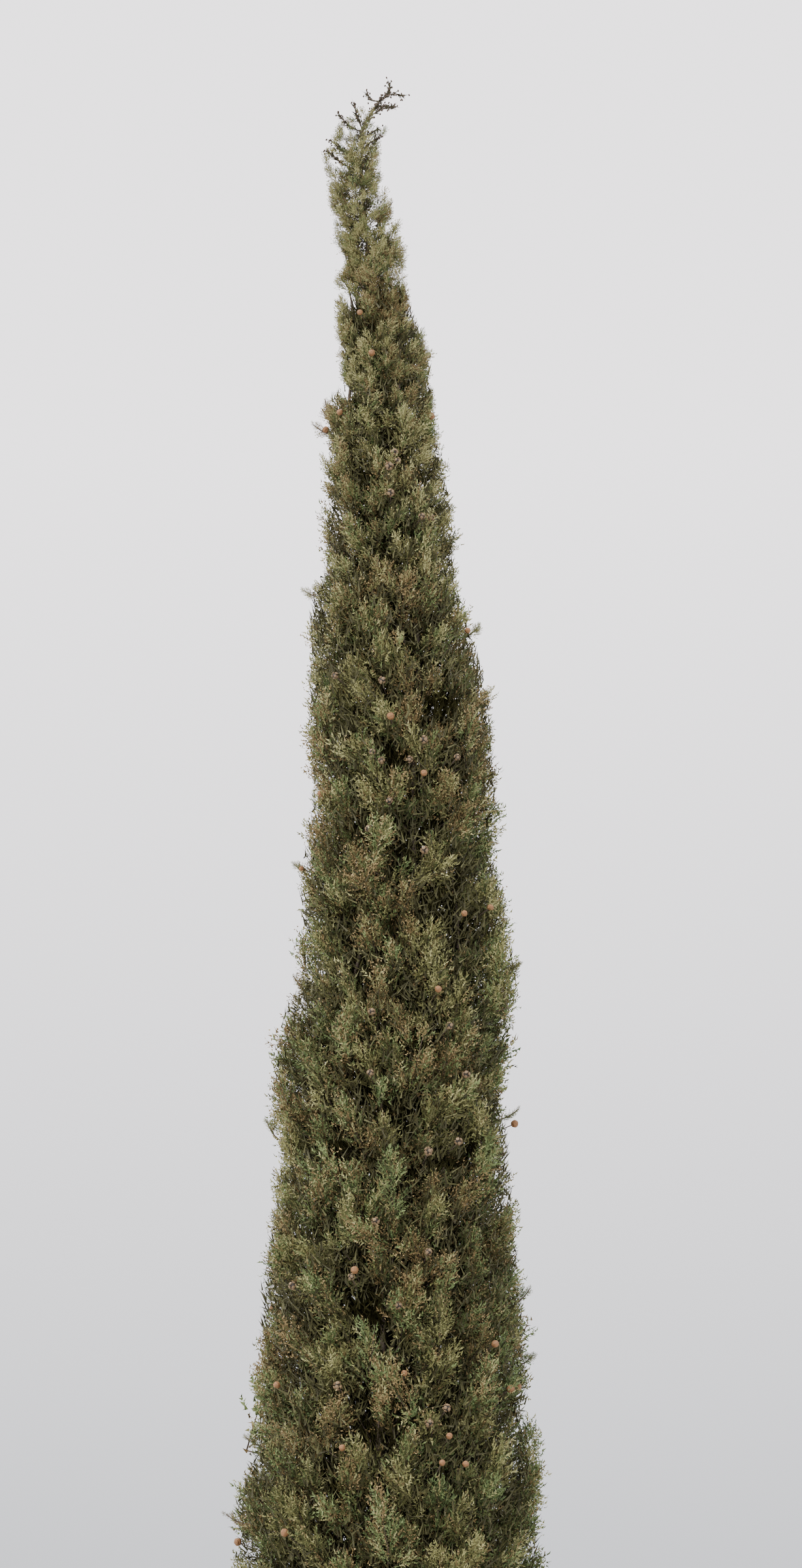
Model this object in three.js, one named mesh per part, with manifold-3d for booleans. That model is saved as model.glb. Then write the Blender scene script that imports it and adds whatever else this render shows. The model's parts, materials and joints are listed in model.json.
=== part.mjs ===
// A columnar Mediterranean cypress, 12 m tall, as an assembly of trunk, boughs and foliage masses.
// Units are millimetres, +Z is up and the viewer stands at -Y, so +X is the viewer's right.
// The origin is the middle of the trunk's flat cut at ground level.
import * as THREE from "three";
import { mergeVertices } from "three/addons/utils/BufferGeometryUtils.js";
import Module from "manifold-3d";

// Driving dimensions
const TREE_HEIGHT = 12000;
const TRUNK_TIP_HEIGHT = 11300;
const TRUNK_TIP_RADIUS = 7;
const TRUNK_RADIUS_AT_GROUND = 118;
const ROOT_FLARE = 78;
const ROOT_FLARE_HEIGHT = 300;
const ROOT_LOBES = 5;
const ROOT_LOBE_DEPTH = 0.1;
const TRUNK_SIDES = 12;
const TRUNK_STEPS = 22;
const TRUNK_STEPS_AT_FOOT = 0.25;
const BOUGH_SIDES = 5;
const BOUGH_STEPS = 2;
const BOUGH_SHARE = 0.2;
const SWING = 0.12;
const MASS_OUT = { ring: 0.57, pair: 0.4 };
const MASS_LINE_SHARES = [0, 0.06, 0.14, 0.28, 0.5, 0.75, 1];
const MASS_SAMPLES = 14;
const FULLNESS = { foot: 0.34, opensFrom: 0.05, opensTo: 0.42, closesFrom: 0.5, closesTo: 1.02, tip: 0.28 };
const TURN_PLAY = 14;
const START_WITHOUT_BOUGH = 0.07;
const BOUGH_SWELL = 2.1;
const STEM_SHARE_OF_WIDTH = 0.07;
const STEM_STEPS = { cored: 3, airy: 5 };
const STEM_TIP_RADIUS = 3;
const STEM_END = { cored: 0.7, airy: 0.96 };
const TWIG_RADIUS = 7;
const TWIGS_FROM_START = 0.03;
const TWIGS_END = 0.985;
const SPACE_GAP = 2;
const SPACE_ENDS = { below: 100, above: 300 };
const SPACE_PLAY = 0.02;
const JOINT_GAP = 0.3;
const CORE_SIDES = 7;
const CORE_RINGS = 5;
const CORE_START = 0.16;
const CORE_END = 0.94;
const CORE_TO_TRUNK = 14;
const CORE_OF_CROWN = 0.74;
const CORE_OF_SPACE = 0.9;
const CORE_SWELL = 1.6;
const CORE_BLUNTNESS = 1.25;
const CORE_LUMP = 0.1;
const CORE_LUMPS_ROUND = 3;
const CORE_LUMPS_ALONG = 23;
const CORE_SHRINK = 0.93;
const SPREAD_AT_FOOT = 38;
const SPREAD_AT_TIP = 13;
const SPREAD_PLAY = 8;
const SIDE_PLAY = 1.2;
const SEEN_FROM = 0.86;
const LEAST_OF_WANTED = 0.5;
const LONGEST_OF_WANTED = 2.5;
const PAST_REACH = 1.1;
const REACH_STEP = 14;
const SPRAY_BASE_LENGTH = 30;
const SPRAY_OF_CROWN = { least: 0.75, most: 1.05 };
const SPRAY_CUP = 0.16;
const SPRAY_SINK = 0.34;
const SPRAY_THICKNESS = 0.03;
const SEED = 1204;

// The outline of a spray, as shares of its length along and across it.
const SPRAY_MIDDLE = 0.47;
const SPRAY_OUTLINE = [
  [0, 0],
  [0.56, 0.2],
  [0.6, 0.09],
  [1, 0],
  [0.7, -0.17],
  [0.3, -0.1],
];

// The golden angle, by which each twig stands round the stem from the last.
const GOLDEN_TURN = Math.PI * (3 - Math.sqrt(5));

// The trunk's middle line: height, and how far it strays to the right and to the back.
const TRUNK_LINE = [
  { height: 0, right: 0, back: 0 },
  { height: 600, right: 0, back: 0 },
  { height: 3000, right: 16, back: 12 },
  { height: 6000, right: 4, back: -10 },
  { height: 8600, right: 14, back: 12 },
  { height: 10000, right: 0, back: 6 },
  { height: 10900, right: -56, back: -6 },
  { height: TRUNK_TIP_HEIGHT, right: -97, back: 0 },
];

// The leading shoot goes on from the trunk's tip, bends over to the right, then turns up.
const LEADER_LINE = [
  { height: TRUNK_TIP_HEIGHT + JOINT_GAP, right: -97, back: 0 },
  { height: 11500, right: -112, back: 4 },
  { height: 11670, right: -119, back: 0 },
  { height: 11800, right: -112, back: -4 },
  { height: 11860, right: -82, back: -6 },
  { height: 11920, right: -45, back: -8 },
  { height: 11952, right: -12, back: -6 },
  { height: TREE_HEIGHT, right: -8, back: 0 },
];

// The crown's outline seen from the front: height, and its reach to the left and the right of the origin.
const OUTLINE = [
  { height: 430, left: 300, right: 310 },
  { height: 760, left: 560, right: 570 },
  { height: 1400, left: 700, right: 690 },
  { height: 2400, left: 750, right: 740 },
  { height: 3500, left: 725, right: 725 },
  { height: 4600, left: 665, right: 670 },
  { height: 5500, left: 600, right: 615 },
  { height: 6020, left: 552, right: 562 },
  { height: 6240, left: 590, right: 556 },
  { height: 6500, left: 482, right: 514 },
  { height: 7000, left: 500, right: 502 },
  { height: 7340, left: 446, right: 466 },
  { height: 7600, left: 412, right: 450 },
  { height: 7800, left: 458, right: 424 },
  { height: 8060, left: 432, right: 456 },
  { height: 8260, left: 322, right: 484 },
  { height: 8500, left: 360, right: 448 },
  { height: 8720, left: 350, right: 400 },
  { height: 8930, left: 316, right: 420 },
  { height: 9360, left: 336, right: 390 },
  { height: 9570, left: 328, right: 338 },
  { height: 9790, left: 322, right: 272 },
  { height: 9900, left: 266, right: 256 },
  { height: 10120, left: 262, right: 256 },
  { height: 10450, left: 262, right: 178 },
  { height: 10600, left: 262, right: 180 },
  { height: 10680, left: 190, right: 158 },
  { height: 10790, left: 206, right: 164 },
  { height: 11050, left: 230, right: 78 },
  { height: 11140, left: 238, right: 62 },
  { height: 11190, left: 192, right: 66 },
  { height: 11350, left: 235, right: 54 },
  { height: 11560, left: 264, right: -36 },
  { height: 11720, left: 262, right: -44 },
  { height: 11860, left: 216, right: 12 },
  { height: 11940, left: 110, right: 44 },
  { height: TREE_HEIGHT, left: 20, right: 14 },
];

// The masses stand in tiers round the trunk. Each mass leaves the trunk at foot and ends at tip; turn is the
// direction of the first, in degrees from the right towards the back, and width is its share of the crown's.
// uneven is how far the tips of one tier differ. twigs is how many each mass may grow.
const TIERS = [
  { name: "skirt", foot: 240, tip: 2650, masses: 5, turn: 18, width: 0.5, uneven: 260, twigs: 34 },
  { name: "lower", foot: 1500, tip: 4150, masses: 5, turn: 54, width: 0.5, uneven: 300, twigs: 34 },
  { name: "waist", foot: 3000, tip: 5550, masses: 5, turn: 5, width: 0.5, uneven: 300, twigs: 32 },
  { name: "middle", foot: 4500, tip: 6750, masses: 4, turn: 45, width: 0.55, uneven: 260, twigs: 34 },
  { name: "high", foot: 5750, tip: 7780, masses: 4, turn: 0, width: 0.55, uneven: 240, twigs: 32 },
  { name: "upper", foot: 6900, tip: 8760, masses: 4, turn: 50, width: 0.55, uneven: 200, twigs: 30 },
  { name: "narrow", foot: 7950, tip: 9760, masses: 4, turn: 10, width: 0.55, uneven: 160, twigs: 28 },
  { name: "shoulder", foot: 9000, tip: 10640, masses: 3, turn: 60, width: 0.6, uneven: 100, twigs: 25 },
  { name: "neck", foot: 10060, tip: 11120, masses: 3, turn: 190, width: 0.6, uneven: 60, twigs: 22 },
  { name: "spire", foot: 10700, tip: 11440, masses: 2, turn: 176, width: 0.7, uneven: 60, twigs: 9 },
  { name: "tip", foot: 11300, tip: TREE_HEIGHT, masses: 1, turn: 0, width: 0.8, uneven: 0, twigs: 14 },
];

// The tiers whose masses stand on boughs of their own, and those whose masses have no core.
const BOUGH_TIERS = ["skirt", "lower", "waist", "middle"];
const AIRY_TIERS = ["spire", "tip"];

const wasm = await Module();
wasm.setup();

const barkMaterial = new THREE.MeshStandardMaterial({ color: 0x6f5f52, roughness: 0.92, metalness: 0 });
const foliageMaterial = new THREE.MeshStandardMaterial({ color: 0x5b6440, roughness: 0.8, metalness: 0 });

// Numbers from 0 to 1 that are the same on every run.
function seeded(seed) {
  let state = seed >>> 0;
  return () => {
    state = (state + 0x6d2b79f5) >>> 0;
    let mixed = Math.imul(state ^ (state >>> 15), 1 | state);
    mixed = (mixed + Math.imul(mixed ^ (mixed >>> 7), 61 | mixed)) ^ mixed;
    return ((mixed ^ (mixed >>> 14)) >>> 0) / 4294967296;
  };
}

const mix = THREE.MathUtils.lerp;
const smooth = THREE.MathUtils.smoothstep;

// The value of one column of a table that is sorted by height.
function atHeight(rows, height, column) {
  if (height <= rows[0].height) return rows[0][column];
  for (let i = 1; i < rows.length; i++) {
    const low = rows[i - 1];
    const high = rows[i];
    if (height <= high.height) {
      return mix(low[column], high[column], (height - low.height) / (high.height - low.height));
    }
  }
  return rows[rows.length - 1][column];
}

// A closed geometry as a solid that can be joined and cut.
function solidOf(geometry) {
  const bare = geometry.index ? geometry.toNonIndexed() : geometry.clone();
  bare.deleteAttribute("normal");
  bare.deleteAttribute("uv");
  const merged = mergeVertices(bare, 1e-4);
  return new wasm.Manifold(
    new wasm.Mesh({
      numProp: 3,
      vertProperties: new Float32Array(merged.attributes.position.array),
      triVerts: new Uint32Array(merged.index.array),
    }),
  );
}

// Only the largest body of a solid: a cut can leave a loose scrap.
function largestBody(solid) {
  const bodies = solid.decompose();
  return bodies.reduce((best, body) => (body.volume() > best.volume() ? body : best));
}

function meshOf(name, solid, material) {
  const cut = solid.getMesh();
  const places = new Float32Array(cut.numVert * 3);
  for (let i = 0; i < cut.numVert; i++) {
    places.set(cut.vertProperties.subarray(i * cut.numProp, i * cut.numProp + 3), i * 3);
  }
  const geometry = new THREE.BufferGeometry()
    .setAttribute("position", new THREE.BufferAttribute(places, 3))
    .setIndex(new THREE.BufferAttribute(new Uint32Array(cut.triVerts), 1));
  geometry.computeVertexNormals();
  const mesh = new THREE.Mesh(geometry, material);
  mesh.name = name;
  return mesh;
}

// The tangent and two directions across a line at share t of its length.
function frameOn(curve, t) {
  const along = curve.getTangentAt(t).normalize();
  const right = new THREE.Vector3(1, 0, 0);
  right.addScaledVector(along, -right.dot(along)).normalize();
  return { at: curve.getPointAt(t), along, right, back: new THREE.Vector3().crossVectors(along, right) };
}

// A round bar that follows a curve: a cylinder whose rings are moved on to the curve.
// radiusAt gives the radius from the share of the length and the angle round the bar.
function limb(curve, radiusAt, sides, steps, from = 0, to = 1) {
  const geometry = new THREE.CylinderGeometry(1, 1, 1, sides, steps);
  const places = geometry.attributes.position;
  for (let i = 0; i < places.count; i++) {
    const t = mix(from, to, places.getY(i) + 0.5);
    const turn = Math.atan2(places.getX(i), places.getZ(i));
    const isMiddle = Math.hypot(places.getX(i), places.getZ(i)) < 0.5;
    const radius = isMiddle ? 0 : radiusAt(t, turn);
    const frame = frameOn(curve, t);
    const place = frame.at
      .addScaledVector(frame.right, radius * Math.sin(turn))
      .addScaledVector(frame.back, -radius * Math.cos(turn));
    places.setXYZ(i, place.x, place.y, place.z);
  }
  return solidOf(geometry);
}

// A smooth curve through the places of a line that is given by height.
function lineCurve(line) {
  const places = line.map((place) => new THREE.Vector3(place.right, place.back, place.height));
  return new THREE.CatmullRomCurve3(places, false, "chordal");
}

// The trunk
const trunkCurve = lineCurve(TRUNK_LINE);

function trunkRadius(height, turn = 0) {
  const taper = mix(TRUNK_RADIUS_AT_GROUND, TRUNK_TIP_RADIUS, height / TRUNK_TIP_HEIGHT);
  const flare = Math.exp(-height / ROOT_FLARE_HEIGHT);
  const lobes = 1 + ROOT_LOBE_DEPTH * flare * Math.cos(ROOT_LOBES * turn);
  return (taper + ROOT_FLARE * flare) * lobes;
}

// Steps are closer together near the ground, where the roots flare.
const trunkShare = (t) => t * mix(TRUNK_STEPS_AT_FOOT, 1, t);

function trunkSolid(extra) {
  const line = {
    getPointAt: (t) => trunkCurve.getPointAt(trunkShare(t)),
    getTangentAt: (t) => trunkCurve.getTangentAt(trunkShare(t)),
  };
  const radius = (t, turn) => trunkRadius(line.getPointAt(t).z, turn) + extra;
  return limb(line, radius, TRUNK_SIDES, TRUNK_STEPS);
}

function trunkPlace(height) {
  const right = atHeight(TRUNK_LINE, height, "right");
  const back = atHeight(TRUNK_LINE, height, "back");
  return new THREE.Vector3(right, back, height);
}

// The crown's round section at a height.
function section(height) {
  const left = atHeight(OUTLINE, height, "left");
  const right = atHeight(OUTLINE, height, "right");
  return { middle: (right - left) / 2, radius: (left + right) / 2 };
}

// How far out a place lies in the crown: 1 is on its outline.
function outness(place) {
  if (place.z > TREE_HEIGHT || place.z < OUTLINE[0].height) return 2;
  const { middle, radius } = section(place.z);
  return Math.hypot(place.x - middle, place.y) / radius;
}

// The line of a mass: it leaves the trunk, swings out and then rises nearly upright.
function massCurve(foot, tip, turn, farOut) {
  const points = MASS_LINE_SHARES.map((share) => {
    const height = mix(foot, tip, share);
    const crown = section(height);
    const out = crown.radius * farOut * (1 - Math.exp(-share / SWING));
    const trunk = trunkPlace(Math.min(height, TRUNK_TIP_HEIGHT));
    const right = mix(trunk.x, crown.middle, smooth(share, 0, 0.5));
    const back = trunk.y * (1 - share);
    return new THREE.Vector3(right + out * Math.cos(turn), back + out * Math.sin(turn), height);
  });
  return new THREE.CatmullRomCurve3(points, false, "chordal");
}

// How wide a mass is along its line, as a share of its greatest width: narrow foot, full waist, pointed tip.
function fullness(t) {
  const opening = mix(FULLNESS.foot, 1, smooth(t, FULLNESS.opensFrom, FULLNESS.opensTo));
  return opening * mix(1, FULLNESS.tip, smooth(t, FULLNESS.closesFrom, FULLNESS.closesTo));
}

function makeMasses() {
  const random = seeded(SEED);
  const masses = [];
  for (const tier of TIERS) {
    const hasBoughs = BOUGH_TIERS.includes(tier.name);
    for (let i = 0; i < tier.masses; i++) {
      const degrees = tier.turn + (360 / tier.masses) * i + (random() - 0.5) * TURN_PLAY;
      const turn = THREE.MathUtils.degToRad(degrees);
      const tip = tier.tip + (i === 0 ? 0 : (random() - 0.5) * 2 * tier.uneven);
      const foot = tier.foot + (random() - 0.5) * tier.uneven;
      const farOut = tier.masses === 2 ? MASS_OUT.pair : MASS_OUT.ring;
      const curve = tier.masses === 1 ? lineCurve(LEADER_LINE) : massCurve(foot, tip, turn, farOut);
      masses.push({
        name: `${tier.name}_foliage_${i + 1}`,
        boughName: hasBoughs ? `${tier.name}_bough_${i + 1}` : null,
        curve,
        foot,
        tip,
        start: hasBoughs ? BOUGH_SHARE : START_WITHOUT_BOUGH,
        width: tier.width,
        twigs: tier.twigs,
        airy: AIRY_TIERS.includes(tier.name),
        samples: Array.from({ length: MASS_SAMPLES + 1 }, (_, k) => {
          const t = k / MASS_SAMPLES;
          return { t, at: curve.getPointAt(t) };
        }),
        seed: SEED + masses.length * 17,
      });
    }
  }
  return masses;
}

// A mass's own half width at share t of its line.
function massRadius(mass, t) {
  return mass.width * section(mix(mass.foot, mass.tip, t)).radius * fullness(t);
}

// How far a place is from a mass's line, against the mass's width there.
function nearness(mass, place) {
  let best = Infinity;
  for (let k = 1; k < mass.samples.length; k++) {
    const a = mass.samples[k - 1];
    const b = mass.samples[k];
    const way = new THREE.Vector3().subVectors(b.at, a.at);
    const share = THREE.MathUtils.clamp(
      new THREE.Vector3().subVectors(place, a.at).dot(way) / way.lengthSq(), 0, 1);
    const distance = a.at.clone().addScaledVector(way, share).distanceTo(place);
    best = Math.min(best, distance / massRadius(mass, mix(a.t, b.t, share)));
  }
  return best;
}

// Whether a place belongs to a mass and not to its neighbours, the trunk or the air outside the crown.
function inSpace(mass, place, masses, margin, limit) {
  if (outness(place) > limit) return false;
  const trunk = trunkPlace(Math.min(place.z, TRUNK_TIP_HEIGHT));
  const fromTrunk = Math.hypot(place.x - trunk.x, place.y - trunk.y);
  const isBesideTrunk = place.z < TRUNK_TIP_HEIGHT + CORE_TO_TRUNK;
  if (isBesideTrunk && fromTrunk < trunkRadius(place.z) + CORE_TO_TRUNK) return false;
  const own = nearness(mass, place);
  return masses.every(
    (other) =>
      other === mass ||
      place.z < other.foot - SPACE_ENDS.below ||
      place.z > other.tip + SPACE_ENDS.above ||
      nearness(other, place) > own + margin,
  );
}

// The dense inside of a mass: a long ball bent along the mass's line and pressed back to its own space.
function coreSolid(mass, masses, extra) {
  const geometry = new THREE.SphereGeometry(1, CORE_SIDES, CORE_RINGS);
  const places = geometry.attributes.position;
  for (let i = 0; i < places.count; i++) {
    const t = mix(Math.max(mass.start, CORE_START), CORE_END, places.getY(i) / 2 + 0.5);
    const turn = Math.atan2(places.getX(i), places.getZ(i));
    const across = Math.hypot(places.getX(i), places.getZ(i));
    const frame = frameOn(mass.curve, t);
    const way = frame.right.multiplyScalar(Math.sin(turn)).addScaledVector(frame.back, -Math.cos(turn));
    const lump = 1 + CORE_LUMP * Math.sin(turn * CORE_LUMPS_ROUND + t * CORE_LUMPS_ALONG + mass.seed);
    const isPole = across < 1e-3;
    let radius = isPole ? 0 : massRadius(mass, t) * CORE_SWELL * lump * Math.min(1, across * CORE_BLUNTNESS);
    while (radius > STEM_TIP_RADIUS) {
      const tried = frame.at.clone().addScaledVector(way, radius / CORE_OF_SPACE);
      if (inSpace(mass, tried, masses, 0, CORE_OF_CROWN / CORE_OF_SPACE)) break;
      radius *= CORE_SHRINK;
    }
    const place = frame.at.clone().addScaledVector(way, radius + extra * across);
    place.addScaledVector(frame.along, extra * places.getY(i));
    places.setXYZ(i, place.x, place.y, place.z);
  }
  return solidOf(geometry);
}

// A spray: a toothed blade, thick along the middle and sharp at the rim.
function spraySolid(root, way, side, length) {
  const across = side.clone().addScaledVector(way, -side.dot(way)).normalize();
  const face = new THREE.Vector3().crossVectors(way, across);
  const at = (u, v, w) => {
    const place = root.clone().addScaledVector(way, u * length);
    return place.addScaledVector(across, v * length).addScaledVector(face, w * length);
  };
  const rim = SPRAY_OUTLINE.map(([u, v]) => at(u, v, SPRAY_CUP * v * v));
  const front = at(SPRAY_MIDDLE, 0, SPRAY_THICKNESS);
  const behind = at(SPRAY_MIDDLE, 0, -SPRAY_THICKNESS);
  const corners = [];
  rim.forEach((a, i) => {
    const b = rim[(i + 1) % rim.length];
    corners.push(front, b, a, behind, a, b);
  });
  const made = solidOf(new THREE.BufferGeometry().setFromPoints(corners));
  return made.volume() > 0 ? made : solidOf(new THREE.BufferGeometry().setFromPoints(corners.reverse()));
}

// A three-sided twig from one place to another, pointed at its end.
function twigSolid(from, to, radius) {
  const length = from.distanceTo(to);
  const geometry = new THREE.CylinderGeometry(0, radius, length, 3, 1);
  geometry.translate(0, length / 2, 0);
  const way = new THREE.Vector3().subVectors(to, from).normalize();
  geometry.applyQuaternion(new THREE.Quaternion().setFromUnitVectors(new THREE.Vector3(0, 1, 0), way));
  geometry.translate(from.x, from.y, from.z);
  return solidOf(geometry);
}

// How far a ray from a place stays in the mass's own space.
function reachAlong(mass, masses, from, way, longest) {
  let reach = 0;
  while (reach < longest) {
    const place = from.clone().addScaledVector(way, reach + REACH_STEP);
    if (!inSpace(mass, place, masses, SPACE_PLAY, 1)) break;
    reach += REACH_STEP;
  }
  return reach;
}

// The twigs of a mass with their sprays: each stands round the stem by the golden angle from the last.
// A twig whose spray would end well inside the crown, where nothing shows, is skipped.
function growTwigs(mass, masses) {
  const random = seeded(mass.seed);
  const grown = [];
  let turn = random() * Math.PI * 2;
  for (let i = 0; i < mass.twigs; i++) {
    const t = mix(mass.start + TWIGS_FROM_START, TWIGS_END, (i + 0.5) / mass.twigs);
    turn += GOLDEN_TURN;
    const frame = frameOn(mass.curve, t);
    const out = frame.right.clone().multiplyScalar(Math.sin(turn));
    out.addScaledVector(frame.back, -Math.cos(turn));
    const spread = THREE.MathUtils.degToRad(mix(SPREAD_AT_FOOT, SPREAD_AT_TIP, t) + random() * SPREAD_PLAY);
    const way = out.clone().multiplyScalar(Math.sin(spread));
    way.addScaledVector(frame.along, Math.cos(spread)).normalize();
    const ofCrown = mix(SPRAY_OF_CROWN.least, SPRAY_OF_CROWN.most, random());
    const wanted = section(frame.at.z).radius * ofCrown + SPRAY_BASE_LENGTH;
    const reach = reachAlong(mass, masses, frame.at, way, wanted * LONGEST_OF_WANTED);
    const length = Math.min(wanted, reach * PAST_REACH);
    const tipPlace = frame.at.clone().addScaledVector(way, reach);
    if (length < wanted * LEAST_OF_WANTED || outness(tipPlace) < SEEN_FROM) continue;
    const root = frame.at.clone().addScaledVector(way, reach - length);
    const side = new THREE.Vector3().crossVectors(way, out).applyAxisAngle(way, (random() - 0.5) * SIDE_PLAY);
    const twigEnd = root.clone().addScaledVector(way, length * SPRAY_SINK);
    if (random() < 0.5) side.negate();
    grown.push(spraySolid(root, way, side, length).add(twigSolid(frame.at, twigEnd, TWIG_RADIUS)));
  }
  return grown;
}

// The stem of a mass, from its bough's tip or the trunk up through its middle.
function stemSolid(mass, extra) {
  const radius = (t) => mix(mass.stemRadius, STEM_TIP_RADIUS, t) + extra;
  const kind = mass.airy ? "airy" : "cored";
  return limb(mass.curve, radius, 3, STEM_STEPS[kind], mass.boughName ? mass.start : 0, STEM_END[kind]);
}

// The bough of a mass. Its clear space, cut out of the mass, runs past its tip by the joint gap.
function boughSolid(mass, extra) {
  const radius = (t) => mix(mass.stemRadius * BOUGH_SWELL, mass.stemRadius, t / mass.start) + extra;
  const end = mass.start + extra / mass.curve.getLength();
  return limb(mass.curve, radius, BOUGH_SIDES, BOUGH_STEPS, 0, end);
}

// Builds the whole tree: trunk first, then the boughs, then each mass clear of all that is there already.
function buildTree() {
  const tree = new THREE.Group();
  const masses = makeMasses();
  const trunkClear = trunkSolid(JOINT_GAP);
  tree.add(meshOf("trunk", trunkSolid(0), barkMaterial));

  const limbsClear = [trunkClear];
  for (const mass of masses) {
    mass.stemRadius = massRadius(mass, 0.5) * STEM_SHARE_OF_WIDTH;
    if (!mass.boughName) continue;
    const bough = largestBody(boughSolid(mass, 0).subtract(trunkClear));
    tree.add(meshOf(mass.boughName, bough, barkMaterial));
    limbsClear.push(boughSolid(mass, JOINT_GAP));
  }
  const limbs = wasm.Manifold.union(limbsClear);

  const stems = masses.map((mass) => stemSolid(mass, 0));
  const stemsClear = masses.map((mass) => stemSolid(mass, SPACE_GAP));
  const coresClear = masses.map((mass) => (mass.airy ? null : coreSolid(mass, masses, SPACE_GAP)));
  const bases = masses.map((mass, index) => {
    const before = wasm.Manifold.union([limbs, ...stemsClear.slice(0, index)]);
    if (mass.airy) return largestBody(stems[index].subtract(before));
    const around = [
      ...stemsClear.filter((_, i) => i !== index),
      ...coresClear.slice(0, index),
    ];
    const core = coreSolid(mass, masses, 0).subtract(wasm.Manifold.union(around));
    return largestBody(core.add(stems[index]).subtract(before));
  });

  masses.forEach((mass, index) => {
    const others = bases.filter((_, i) => i !== index);
    const kept = growTwigs(mass, masses).filter(
      (grown) => others.every((other) => other.minGap(grown, SPACE_GAP) > SPACE_GAP / 2));
    const solid = wasm.Manifold.union([bases[index], ...kept]).subtract(limbs);
    bases[index] = largestBody(solid);
    tree.add(meshOf(mass.name, bases[index], foliageMaterial));
  });
  return tree;
}

const tree = buildTree();

export default tree;
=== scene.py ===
"""The looks of a columnar cypress, 12 m tall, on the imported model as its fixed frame. Metres, +Z up.

Each foliage mass of the model is grown again here by the model's own rule: the same line for every mass, and
twigs round it by the golden angle, each ending in the mass's own space. Here the rule goes on to a bouquet of
plumes round each twig's end, sprays on the plumes and leaf cords on the sprays. Trunk and boughs get a mesh
with the bark's relief. Cones, sprigs and the bare leader's shoots stand where the photograph shows them.
"""

import json
import math

import bpy
import numpy as np
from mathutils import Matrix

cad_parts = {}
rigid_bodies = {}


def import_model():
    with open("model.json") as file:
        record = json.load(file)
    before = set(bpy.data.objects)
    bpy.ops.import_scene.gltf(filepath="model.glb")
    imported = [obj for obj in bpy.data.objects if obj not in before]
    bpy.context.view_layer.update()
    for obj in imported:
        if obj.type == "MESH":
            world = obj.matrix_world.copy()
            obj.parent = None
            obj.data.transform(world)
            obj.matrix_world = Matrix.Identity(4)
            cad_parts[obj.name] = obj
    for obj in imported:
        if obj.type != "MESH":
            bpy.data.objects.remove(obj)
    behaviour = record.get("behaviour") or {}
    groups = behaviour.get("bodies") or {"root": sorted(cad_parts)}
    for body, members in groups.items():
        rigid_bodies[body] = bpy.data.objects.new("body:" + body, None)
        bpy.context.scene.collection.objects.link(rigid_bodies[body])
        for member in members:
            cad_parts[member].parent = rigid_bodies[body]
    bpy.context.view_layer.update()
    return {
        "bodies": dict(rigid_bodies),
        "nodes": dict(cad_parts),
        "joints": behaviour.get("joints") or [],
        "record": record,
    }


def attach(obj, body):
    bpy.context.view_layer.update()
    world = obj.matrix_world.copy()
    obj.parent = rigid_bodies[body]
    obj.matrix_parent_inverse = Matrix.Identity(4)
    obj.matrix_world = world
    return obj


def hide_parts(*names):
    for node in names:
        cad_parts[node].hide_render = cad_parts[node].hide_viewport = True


# The camera of the photograph: 19 m away at eye height, looking up at the crown's upper half.
IMAGE_WIDTH = 1228
IMAGE_HEIGHT = 2400
CAMERA_PLACE = (0.0374, -19.0, 1.6)
CAMERA_TILT = math.radians(21.302)
CAMERA_LENS = 123.935
SENSOR = 36.0
FOCAL = CAMERA_LENS / SENSOR * IMAGE_HEIGHT
COS_TILT = math.cos(CAMERA_TILT)
SIN_TILT = math.sin(CAMERA_TILT)

# The tree's form, as in the model.
TREE_HEIGHT = 12.0
JOINT_GAP = 0.0003
TRUNK_TIP_HEIGHT = 11.3
TRUNK_TIP_RADIUS = 0.007
TRUNK_RADIUS_AT_GROUND = 0.118
ROOT_FLARE = 0.078
ROOT_FLARE_HEIGHT = 0.3
ROOT_LOBES = 5
ROOT_LOBE_DEPTH = 0.1
BOUGH_SHARE = 0.2
BOUGH_SWELL = 2.1
START_WITHOUT_BOUGH = 0.07
SWING = 0.12
MASS_OUT_RING = 0.57
MASS_OUT_PAIR = 0.4
MASS_LINE_SHARES = (0, 0.06, 0.14, 0.28, 0.5, 0.75, 1)
MASS_SAMPLES = 14
TURN_PLAY = 14
STEM_SHARE_OF_WIDTH = 0.07
STEM_TIP_RADIUS = 0.003
SEED = 1204
GOLDEN_ANGLE = math.pi * (3 - math.sqrt(5))

# The trunk's middle line: height, right, back.
TRUNK_LINE = np.array([
    (0, 0, 0), (0.6, 0, 0), (3, 0.016, 0.012), (6, 0.004, -0.01), (8.6, 0.014, 0.012), (10, 0, 0.006),
    (10.9, -0.056, -0.006), (TRUNK_TIP_HEIGHT, -0.097, 0),
])

# The leading shoot goes on from the trunk's tip, bends over to the right, then turns up.
LEADER_LINE = np.array([
    (TRUNK_TIP_HEIGHT + JOINT_GAP, -0.097, 0), (11.5, -0.112, 0.004), (11.67, -0.119, 0),
    (11.8, -0.112, -0.004), (11.86, -0.082, -0.006), (11.92, -0.045, -0.008), (11.952, -0.012, -0.006),
    (TREE_HEIGHT, -0.008, 0),
])

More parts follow.
